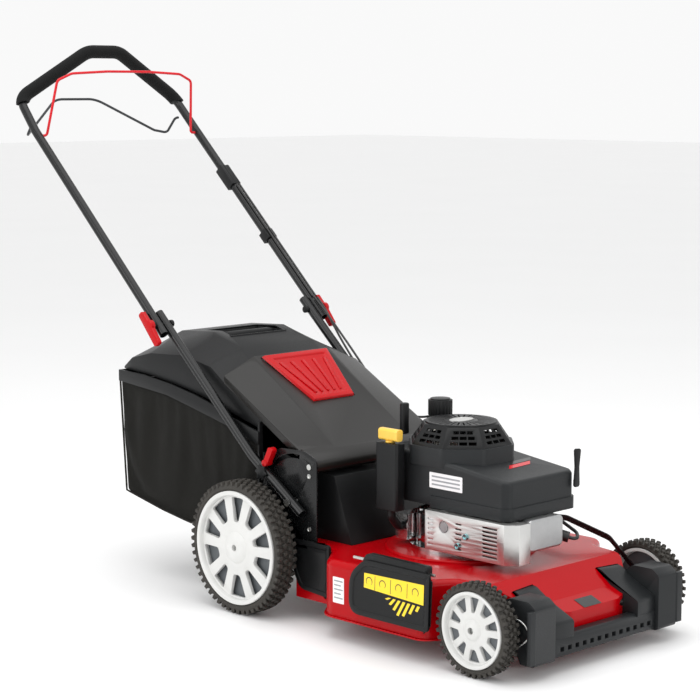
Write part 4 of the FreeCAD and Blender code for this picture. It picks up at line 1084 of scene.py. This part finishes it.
def wireLoop(name, sign):
    places = [(sign * wire["x"] * mm, y * mm, z * mm) for y, z in wire["route"]]
    loop = tubeAlong(name, places, wire["radius"], bent=True)
    finishPiece(loop, name, skins["zincPlate"], "chassis")


wireLoop("wireLoopRight", -1)
wireLoop("wireLoopLeft", 1)
print("stage: small fittings")


# floor, light and camera
bpy.ops.mesh.primitive_plane_add(size=60, location=(0, 0, 0))
floor = bpy.context.object
floor.name = "studioFloor"
paper = startMaterial("studioPaper", {"Roughness": 0.6})
finishSurface(paper, ("#f4f4f4", "#f7f7f7"), 900, 12, 0.02, (0.5, 0.6))
floor.data.materials.append(paper)

studio = {"world": 0.95, "top": 42.0, "side": 30.0, "front": 12.0}
world = bpy.data.worlds.new("studio")
bpy.context.scene.world = world
world.use_nodes = True
world.node_tree.nodes["Background"].inputs["Color"].default_value = (1, 1, 1, 1)
world.node_tree.nodes["Background"].inputs["Strength"].default_value = studio["world"]


def softbox(name, place, aim, size, power):
    light = bpy.data.lights.new(name, "AREA")
    light.shape = "RECTANGLE"
    light.size, light.size_y = size
    light.energy = power
    lamp = bpy.data.objects.new(name, light)
    bpy.context.scene.collection.objects.link(lamp)
    lamp.location = place
    lamp.rotation_euler = (Vector(aim) - Vector(place)).to_track_quat("-Z", "Y").to_euler()


softbox("topSoftbox", (-0.3, -0.4, 3.0), (0, 0, 0.3), (3.0, 3.0), studio["top"])
softbox("sideSoftbox", (-3.2, 0.6, 1.8), (0, 0, 0.4), (1.6, 2.4), studio["side"])
softbox("frontSoftbox", (-0.6, -3.6, 1.4), (0, 0, 0.3), (2.0, 1.4), studio["front"])

view = {"place": (-2.949, -3.1345, 1.084), "along": (0.6939, 0.7083, -0.1298), "lens": 103.1}
cameraData = bpy.data.cameras.new("camera")
cameraData.lens = view["lens"]
cameraData.sensor_width = 36
camera = bpy.data.objects.new("camera", cameraData)
bpy.context.scene.collection.objects.link(camera)
camera.location = view["place"]
camera.rotation_euler = Vector(view["along"]).to_track_quat("-Z", "Y").to_euler()
bpy.context.scene.camera = camera
bpy.context.scene.view_settings.view_transform = "Standard"
print("stage: floor, light and camera")

deselectAll()
